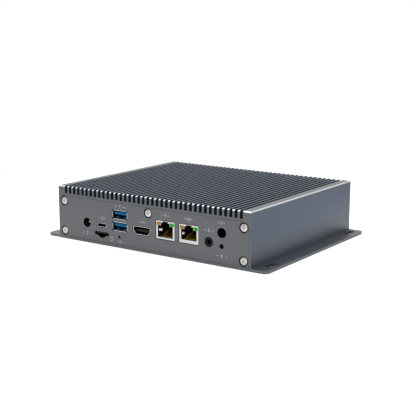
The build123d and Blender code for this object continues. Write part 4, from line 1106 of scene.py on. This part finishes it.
@dataclass
class PanelMarks:
    """Plain numbers printed over and under the sockets, and the outline of a card by its slot."""

    front_y: float = -70.5
    thickness: float = 0.02
    marks: tuple[Mark, ...] = (
        Mark(1, -25.0, 29.7, 8.5, 2.5),
        Mark(2, -41.3, 19.6, 5.4, 2.4),
        Mark(3, -56.0, 7.0, 8.5, 2.5),
        Mark(4, -4.8, 21.2, 6.1, 2.1),
        Mark(5, -25.0, 4.4, 4.9, 2.2),
        Mark(6, 50.9, 23.0, 7.9, 2.6),
        Mark(7, 60.9, 29.2, 5.4, 2.1),
        Mark(8, 61.1, 6.9, 8.2, 2.3),
        Mark(9, 14.9, 28.5, 6.7, 2.2),
        Mark(10, 34.3, 28.4, 6.6, 2.2),
    )
    figure_share: float = 1.35
    dash_length: float = 1.5
    dash_height: float = 0.35
    icon_centre: tuple[float, float] = (-33.2, 5.6)
    icon_size: tuple[float, float] = (2.4, 3.0)
    icon_line: float = 0.28

    def build(self) -> None:
        """Builds the sub-assembly."""
        for mark in self.marks:
            self.mark(mark)
        card = self.card("mark_card", 0.0, self.thickness, 0.6)
        card.cut(self.card("card_hole", self.icon_line, 2 * self.thickness, 0.5).mend())
        card.done(PRINT, Slot.NICKEL)

    def mark(self, mark: Mark) -> None:
        """Makes one number with its dashes.

        Args:
            mark: What to print and where.
        """
        Workpiece.clear()
        centre = Vector((mark.x, self.front_y, mark.z))
        bpy.ops.object.text_add(location=at(centre), rotation=Axis.FORWARD.value[1])
        words = bpy.context.object.data
        words.body = str(mark.number)
        words.align_x = words.align_y = "CENTER"
        words.size = mark.height * self.figure_share * MM
        words.extrude = self.thickness / 2 * MM
        words.resolution_u = 3
        bpy.ops.object.convert(target="MESH")
        figure = Workpiece(f"mark_{mark.number}")
        reach = (mark.width - self.dash_length) / 2
        for side in (-1, 1):
            size = (self.dash_length, self.thickness, self.dash_height)
            dash = Workpiece.slab("dash", centre + Vector((side * reach, 0, 0)), size)
            dash.pick("EDGE", lambda _, way: abs(way.y) > 0.9).bevel(self.dash_height * 0.45, 3)
            figure.join(dash)
        figure.done(PRINT, Slot.NICKEL)

    def card(self, name: str, margin: float, thickness: float, corner: float) -> Workpiece:
        """Makes the blank of a card with one cut corner.

        Args:
            name: Name of the piece.
            margin: How far its edges lie inside the icon's.
            thickness: Its thickness.
            corner: Size of the cut corner.

        Returns:
            The blank.
        """
        x, z = self.icon_centre
        width, height = (size - 2 * margin for size in self.icon_size)
        card = Workpiece.slab(name, (x, self.front_y, z), (width, thickness, height))
        card.pick("EDGE", lambda spot, way: abs(way.y) > 0.9 and spot.x > x and spot.z > z)
        return card.bevel(corner, 1)


@dataclass
class NetworkSockets:
    """Two network sockets: folded shields, spring fingers, contact springs and lights."""

    centres: tuple[float, float] = (14.75, 34.45)
    floors: tuple[float, float] = (13.0, 13.9)
    front_y: float = -70.3
    mouth_width: float = 12.8
    light_face: tuple[float, float] = (3.1, 2.3)
    lip_corner: Point = (-7.35, -70.46, 11.8)
    lip_size: Point = (14.7, 0.18, 0.65)
    contact_count: int = 8
    contact_pitch: float = 1.02
    contact_width: float = 0.45
    contact_steps: Steps = (
        (-66.9, 0.16), (-66.5, 0.5), (-65.9, 0.75), (-64.0, 1.35), (-61.0, 2.5), (-58.1, 3.7), (-57.2, 4.3),
    )
    bed_margin: float = 0.4
    bed_steps: Steps = ((-68.6, 0.06), (-65.6, 0.08), (-64.0, 0.9), (-57.4, 3.5))
    rib_size: Point = (0.2, 6.6, 0.74)
    rib_front: float = -64.6
    rib_rise: float = 2.7
    finger_z: float = 16.9
    finger_height: float = 1.7
    finger_bulges: tuple[float, float] = (2.1, 1.2)

    def build(self) -> None:
        """Builds the sub-assembly."""
        for number in (1, 2):
            prefix = f"network_socket_{number}"
            RACK.dress(TINNED, f"{prefix}_shield")
            RACK.dress(BLACK, f"{prefix}_housing")
        pitch = self.centres[1] - self.centres[0]
        rise = self.floors[1] - self.floors[0]
        self.apron().copy("network_apron_2", (pitch, 0, 0))
        for number, bulge in enumerate(self.finger_bulges):
            self.finger(number, bulge)
        self.comb().copy("network_comb_2", (pitch, 0, rise))
        self.bed().copy("network_bed_2", (pitch, 0, rise))
        contact = self.contact()
        for number in (1, 2):
            for index in range(self.contact_count):
                if (number, index) != (1, 0):
                    step = ((number - 1) * pitch + index * self.contact_pitch, 0, (number - 1) * rise)
                    contact.copy(f"network_contact_{number}_{index + 1}", step)
            for side, finish, slot in (("amber", AMBER, Slot.AMBER), ("green", GREEN, Slot.GREEN)):
                self.light(f"network_socket_{number}_{side}_light", finish, slot)

    def apron(self) -> Workpiece:
        """Makes the folded lip across the foot of the first shield."""
        corner = Vector(self.lip_corner) + Vector((self.centres[0], 0, 0))
        lip = Workpiece.block("network_apron_1", corner, self.lip_size)
        lip.pick_side(Axis.FORWARD.way).inset(0.1)
        return lip.soften(0.05).done(TINNED, Slot.TINNED)

    def finger(self, number: int, bulge: float) -> None:
        """Makes the sprung finger that bulges off the left inner wall of a mouth.

        Args:
            number: Which socket, from 0.
            bulge: How far it stands off the wall.
        """
        x = self.centres[number] - self.mouth_width / 2
        steps = ((0.05, 1.2), (bulge * 0.88, 2.2), (bulge, 2.6), (bulge * 0.45, 4.2), (0.1, 5.0))
        path = [(x + reach, self.front_y + depth, self.finger_z) for reach, depth in steps]
        across = (0, 0, self.finger_height)
        finger = Workpiece.strip(f"network_finger_{number + 1}", path, across, 0.14, 0.04)
        finger.done(SPRING, Slot.TINNED)

    def bed(self) -> Workpiece:
        """Makes the sloped bed that the first socket's contact springs lie in, painted a shaded gold as
        painted shade.
        """
        width = self.mouth_width - 2 * self.bed_margin
        corner = (self.centres[0] - width / 2, self.floors[0])
        bed = Workpiece.leaf("network_bed_1", corner, self.bed_steps, width, 0.1, 0.03)
        return bed.done(SHADED_GOLD, Slot.GOLD)

    def comb(self) -> Workpiece:
        """Makes the comb of thin ribs that keeps the first socket's contacts apart."""
        x = self.centres[0] - (self.contact_pitch * self.contact_count + self.rib_size[0]) / 2
        bottom = self.floors[0] + 0.01
        top, middle_y = bottom + self.rib_size[2], self.rib_front + self.rib_size[1] / 2
        rib = Workpiece.block("network_comb_1", (x, self.rib_front, bottom), self.rib_size)
        rib.pick("EDGE", lambda spot, way: abs(way.x) > 0.9 and spot.z > top - 0.1 and spot.y > middle_y)
        bpy.ops.transform.translate(value=at((0, 0, self.rib_rise)))
        return rib.repeat(self.contact_count + 1, self.contact_pitch).done(BLACK, Slot.BLACK)

    def contact(self) -> Workpiece:
        """Makes the first contact spring, bent up towards the back."""
        x = self.centres[0] - ((self.contact_count - 1) * self.contact_pitch + self.contact_width) / 2
        corner = (x, self.floors[0])
        spring = Workpiece.leaf("network_contact_1_1", corner, self.contact_steps, self.contact_width, 0.2)
        nodes = ["network_socket_1_contacts", "network_socket_2_contacts"]
        return spring.done(GOLD, Slot.GOLD, nodes)

    def light(self, node: str, finish: Finish, slot: Slot) -> None:
        """Makes one light with a rounded front.

        Args:
            node: Node that it stands for.
            finish: Finish of the lens.
            slot: Material slot of the record.
        """
        low, high = (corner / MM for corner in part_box(node))
        lens = Workpiece.block(f"{node}_lens", low, high - low)
        lens.pick_side(Axis.FORWARD.way).inset(0.18)
        wide, tall = self.light_face
        middle = (low + high) / 2
        front = (middle.x, self.front_y - 0.07, middle.z)
        face = Workpiece.slab(f"{node}_face", front, (wide, 0.2, tall))
        face.pick_side(Axis.FORWARD.way).inset(0.2, 0.03)
        lens.join(face.soften(0.06)).done(finish, slot, [node])


@dataclass
class DataSockets:
    """Stacked data sockets: blue tongues with contact strips, and leaf springs in their shield."""

    centre_x: float = -25.35
    tongue_under: float = 15.3
    bay_floor: float = 12.75
    bay_pitch: float = 8.5
    spring_steps: Steps = ((-62.5, 0.08), (-65.0, 0.4), (-67.0, 0.68), (-68.3, 0.2))

    def build(self) -> None:
        """Builds the sub-assembly."""
        RACK.dress(TINNED, "data_socket_shield")
        RACK.dress(BLUE, "data_socket_tongue_lower", "data_socket_tongue_upper")
        RACK.dress(BLACK, "data_socket_housing")
        x, z = self.centre_x, self.tongue_under
        low = (x - 4.0, -68.4, z - 0.07)
        wide = contact_row("data_strips_wide", low, (1.1, 7.1, 0.07), (0.1, 0.02), 4, 2.3)
        low = (x - 4.3, -64.6, z - 0.16)
        narrow = contact_row("data_strips_narrow", low, (0.6, 2.6, 0.11), (0.08, 0.03), 5, 2.0)
        spring = Workpiece.leaf("data_springs", (x - 3.9, self.bay_floor), self.spring_steps, 1.7)
        spring.repeat(2, 6.1).done(SPRING, Slot.TINNED)
        for number, piece in enumerate((wide, narrow, spring), 1):
            piece.copy(f"data_strip_{number}_upper", (0, 0, self.bay_pitch))


@dataclass
class VideoSocket:
    """Video socket: its shell, the tongue's gold contacts and the shell's springs."""

    centre_x: float = -5.65
    middle_z: float = 15.0
    tongue_height: float = 1.5
    roof_z: float = 17.5
    contact_size: Point = (0.44, 6.1, 0.05)
    contact_front: float = -69.0
    spring_steps: Steps = ((-63.5, -0.08), (-66.0, -0.4), (-67.6, -0.55), (-68.8, -0.2))

    def build(self) -> None:
        """Builds the sub-assembly."""
        RACK.dress(TINNED, "video_socket_shell")
        RACK.dress(BLACK, "video_socket_moulding")
        half = self.tongue_height / 2
        self.contacts("video_contacts_upper", self.middle_z + half, 10)
        self.contacts("video_contacts_lower", self.middle_z - half - self.contact_size[2], 9)
        leaf = Workpiece.leaf("video_springs", (self.centre_x - 4.6, self.roof_z), self.spring_steps, 1.6)
        leaf.repeat(2, 7.6).done(SPRING, Slot.TINNED)

    def contacts(self, name: str, z: float, count: int) -> None:
        """Makes one row of contacts, 1 mm apart.

        Args:
            name: Name of the piece.
            z: Height of the contacts' underside.
            count: Number of contacts.
        """
        x = self.centre_x - (count - 1 + self.contact_size[0]) / 2
        row = Workpiece.block(name, (x, self.contact_front, z), self.contact_size)
        row.pick("EDGE", lambda spot, way: abs(way.x) > 0.9 and spot.y < self.contact_front + 0.1)
        row.bevel(0.02, 1).repeat(count, 1.0).done(GOLD, Slot.GOLD)


@dataclass
class SmallSockets:
    """Small data socket, card socket, power jack, audio socket, power light and recovery switch."""

    small_x: float = -42.1
    small_z: float = 14.5
    jack: tuple[float, float] = (-56.1, 14.7)
    pin_root: float = -55.8
    pin: Steps = (
        (0.0, 1.05), (11.4, 1.05), (11.8, 1.0), (12.1, 0.82), (12.2, 0.6),
        (12.2, 0.36), (11.9, 0.32), (11.2, 0.3),
    )
    sleeve_steps: Steps = ((-58.9, -2.9), (-62.0, -2.5), (-64.6, -2.2), (-66.4, -2.75))
    audio: Point = (50.8, -70.28, 15.2)
    audio_rim: Steps = ((0.0, 3.3), (0.16, 3.3), (0.22, 3.2))
    audio_bore: Steps = ((-0.5, 2.75), (1.0, 2.75))
    light: Point = (61.0, -67.3, 13.55)
    dome: Steps = (
        (0.0, 1.75), (1.0, 1.75), (1.0, 1.5), (1.35, 1.5),
        (1.62, 1.38), (1.84, 1.08), (1.96, 0.62), (2.0, 0.2),
    )
    card_z: float = 8.7
    card_size: Point = (11.0, 7.0, 0.8)
    card_y: float = -66.3
    card_contact_steps: Steps = ((-57.0, 0.76), (-60.0, 0.5), (-61.6, 0.25), (-62.6, 0.45))

    def build(self) -> None:
        """Builds the sub-assembly."""
        RACK.dress(TINNED, "small_socket_shell", "card_socket_cover")
        RACK.dress(CHARCOAL, "small_socket_moulding")
        RACK.dress(BLACK, "card_socket_base", "power_jack_body")
        RACK.dress(BLACK, "power_light_holder", "recovery_switch_body")
        RACK.dress(CHARCOAL, "audio_socket", "recovery_button")
        low = (self.small_x - 1.42, -68.4, self.small_z - 0.4)
        contact_row("small_contacts", low, (0.24, 4.4, 0.05), (0.05, 0.01), 5, 0.65)
        self.card()
        self.power_jack()
        self.audio_ring()
        dome = Workpiece.turned("power_light_dome", self.light, Axis.FORWARD, self.dome, 32)
        dome.done(DARK, Slot.DARK, ["power_light_lens"])

    def card(self) -> None:
        """Makes the card socket's contacts and the blank that fills it, with a raised lip to pull it by."""
        corner = (self.small_x - 4.2, self.card_z)
        row = Workpiece.leaf("card_contacts", corner, self.card_contact_steps, 0.6, 0.12, 0.03)
        row.repeat(8, 1.1).done(GOLD, Slot.GOLD)
        blank = Workpiece.slab("card_blank", (self.small_x, self.card_y, self.card_z), self.card_size)
        blank.pick_side(Axis.FORWARD.way).inset(0.15, 0.1)
        blank.soften(0.08).done(BLANK, Slot.BLACK)

    def power_jack(self) -> None:
        """Turns the jack's centre pin, with its shallow centre hole, and folds the sleeve spring."""
        x, z = self.jack
        pin = Workpiece.turned("power_jack_pin_turned", (x, self.pin_root, z), Axis.FORWARD, self.pin, 28)
        pin.done(NICKEL, Slot.NICKEL, ["power_jack_pin"])
        sleeve = Workpiece.leaf("power_jack_spring", (x - 0.8, z), self.sleeve_steps, 1.6, 0.2, 0.05)
        sleeve.done(TINNED, Slot.TINNED)

    def audio_ring(self) -> None:
        """Turns the raised rim of the audio socket."""
        ring = Workpiece.turned("audio_rim", self.audio, Axis.FORWARD, self.audio_rim, 48)
        bore = Workpiece.turned("audio_rim_bore", self.audio, Axis.FORWARD, self.audio_bore, 48)
        ring.cut(bore.mend()).done(CHARCOAL, Slot.BLACK)


@dataclass
class Boards:
    """Main board, module and what stands on them."""

    def build(self) -> None:
        """Gives the pieces inside the housing their finishes."""
        RACK.dress(BOARD, "main_board", "module_board")
        RACK.dress(NICKEL, "board_standoffs", "board_screws", "module_standoffs")
        RACK.dress(NICKEL, "heat_block_screws", "radio_card_post")
        RACK.dress(BLACK, "module_socket", "radio_card_socket", "clock_cell_holder")
        RACK.dress(CHIP, "processor", "memory_chips", "network_transformers", "power_inductors")
        RACK.dress(PAD, "processor_pad", "cover_pad")
        RACK.dress(MILLED, "heat_block")
        RACK.dress(NICKEL, "clock_cell")
        RACK.dress(SLEEVE, "power_capacitors")


@dataclass
class Studio:
    """Pale floor, soft light and the camera, in metres; only foot and covered are in millimetres."""

    camera_place: Point = (0.38489, -0.55257, 0.15889)
    look: Point = (-0.5586, 0.8045, -0.2019)
    roll: float = 0.105
    lens: float = 79.46
    floor_size: float = 6.0
    shadow_reach: float = 0.2
    glow: float = 0.35
    top_power: float = 9.0
    front_power: float = 4.05
    sky: float = 0.75
    pale: Colour = (0.8, 0.8, 0.8, 1.0)
    cloud: Colour = (0.78, 0.78, 0.79, 1.0)
    # shade and foot give the floor's painted shadow under the object.
    shade: Colour = (0.2, 0.2, 0.21, 1.0)
    foot: tuple[float, float] = (93.0, 63.0)
    covered: tuple[float, float] = (93.5, 68.5)

    def build(self) -> None:
        """Builds the studio."""
        self.floor()
        self.world()
        self.lamp("top_lamp", (-0.25, 0.15, 0.9), 0.8, self.top_power)
        self.lamp("front_lamp", (0.5, -0.9, 0.7), 0.6, self.front_power)
        self.camera()

    def floor(self) -> None:
        """Lays the floor."""
        Workpiece.clear()
        bpy.ops.mesh.primitive_plane_add(size=self.floor_size)
        floor = Workpiece("studio_floor").pick_all()
        bpy.ops.mesh.subdivide(number_cuts=3)
        floor.settle()
        floor.body.data.materials.append(self.ground())
        floor.body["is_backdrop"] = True
        log.info("floor laid")

    def ground(self) -> bpy.types.Material:
        """Makes the floor's material: white to the camera, it keeps the object's shadow, and under the
        object's foot it has a painted shadow.

        Returns:
            The material.
        """
        paint = Paint("studio_floor")
        ways = [paint.along(axis) for axis in "XY"]
        away = [paint.absolute(way) for way in ways]
        under = [paint.step(place, half, half + 1.0, 1.0, 0.0) for place, half in zip(away, self.foot)]
        beside = [paint.step(place, half, half + 1.0) for place, half in zip(away, self.covered)]
        tone = paint.blend(paint.level(paint.noise(400.0), 0.0, 0.05), self.pale, self.cloud)
        # Painted shadow: under the object's foot the floor takes the dark shade colour.
        tone = paint.blend(paint.times(*under), tone, self.shade)
        paint.set(Base_Color=tone, Roughness=0.9, Specular_IOR_Level=0.1)
        strength = paint.level(paint.sum("MAXIMUM", *beside), 0.0, self.glow)
        glow = paint.add("Emission", {"Strength": strength})
        near = paint.add("AddShader", {0: paint.shader.outputs[0], 1: glow.outputs[0]})
        spread = paint.sum("ADD", *(paint.sum("POWER", way, 2.0) for way in ways))
        reach = self.shadow_reach ** 2
        far = paint.level(spread, 0.0, 1.0, reach, 3 * reach)
        plain = paint.add("Emission")
        shown = paint.add("MixShader", {0: far, 1: near.outputs[0], 2: plain.outputs[0]})
        pick = paint.add("MixShader", {0: paint.seen(), 1: paint.shader.outputs[0], 2: shown.outputs[0]})
        paint.feed(paint.tree.nodes["Material Output"], {"Surface": pick.outputs[0]})
        return paint.material

    def world(self) -> None:
        """Sets a white surround for the camera and for reflections, and softer light for the rest."""
        world = bpy.data.worlds.new("studio")
        bpy.context.scene.world = world
        world.use_nodes = True
        graph = Graph(world.node_tree)
        strength = graph.level(graph.seen(), self.sky, 1.0)
        graph.feed(graph.tree.nodes["Background"], {"Strength": strength, "Color": (1.0, 1.0, 1.0, 1.0)})
        log.info("surround set")

    def lamp(self, name: str, place: Point, size: float, power: float) -> None:
        """Hangs one soft lamp that faces the object.

        Args:
            name: Name of the lamp.
            place: Where it hangs.
            size: Length of its side.
            power: Its power in watts.
        """
        data = bpy.data.lights.new(name, "AREA")
        data.size = size
        data.energy = power
        lamp = bpy.data.objects.new(name, data)
        bpy.context.scene.collection.objects.link(lamp)
        lamp.location = place
        lamp.rotation_euler = (Vector((0, 0, 0.02)) - Vector(place)).to_track_quat("-Z", "Y").to_euler()
        log.info("lamp %s hung", name)

    def camera(self) -> None:
        """Sets the camera as in the photograph."""
        data = bpy.data.cameras.new("camera")
        data.lens = self.lens
        data.sensor_width = 36.0
        camera = bpy.data.objects.new("camera", data)
        bpy.context.scene.collection.objects.link(camera)
        camera.location = self.camera_place
        turn = Vector(self.look).to_track_quat("-Z", "Y").to_matrix().to_4x4()
        turn = turn @ Matrix.Rotation(math.radians(self.roll), 4, "Z")
        camera.rotation_euler = turn.to_euler()
        bpy.context.scene.camera = camera
        bpy.context.scene.view_settings.view_transform = "Standard"
        log.info("camera set")


def corners() -> list[list[float]]:
    """Gives the object's lowest and highest corners as plain lists."""
    return [[round(value, 6) for value in corner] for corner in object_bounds()]


def main() -> None:
    """Builds every sub-assembly in turn."""
    logging.basicConfig(level=logging.INFO, format="%(message)s")
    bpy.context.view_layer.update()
    housing, sockets = (Enclosure, PanelMarks), (NetworkSockets, DataSockets, VideoSocket, SmallSockets)
    for kind in (*housing, *sockets, Boards, Studio):
        log.info("building %s", kind.__name__)
        kind().build()


if __name__ == "__main__":
    main()
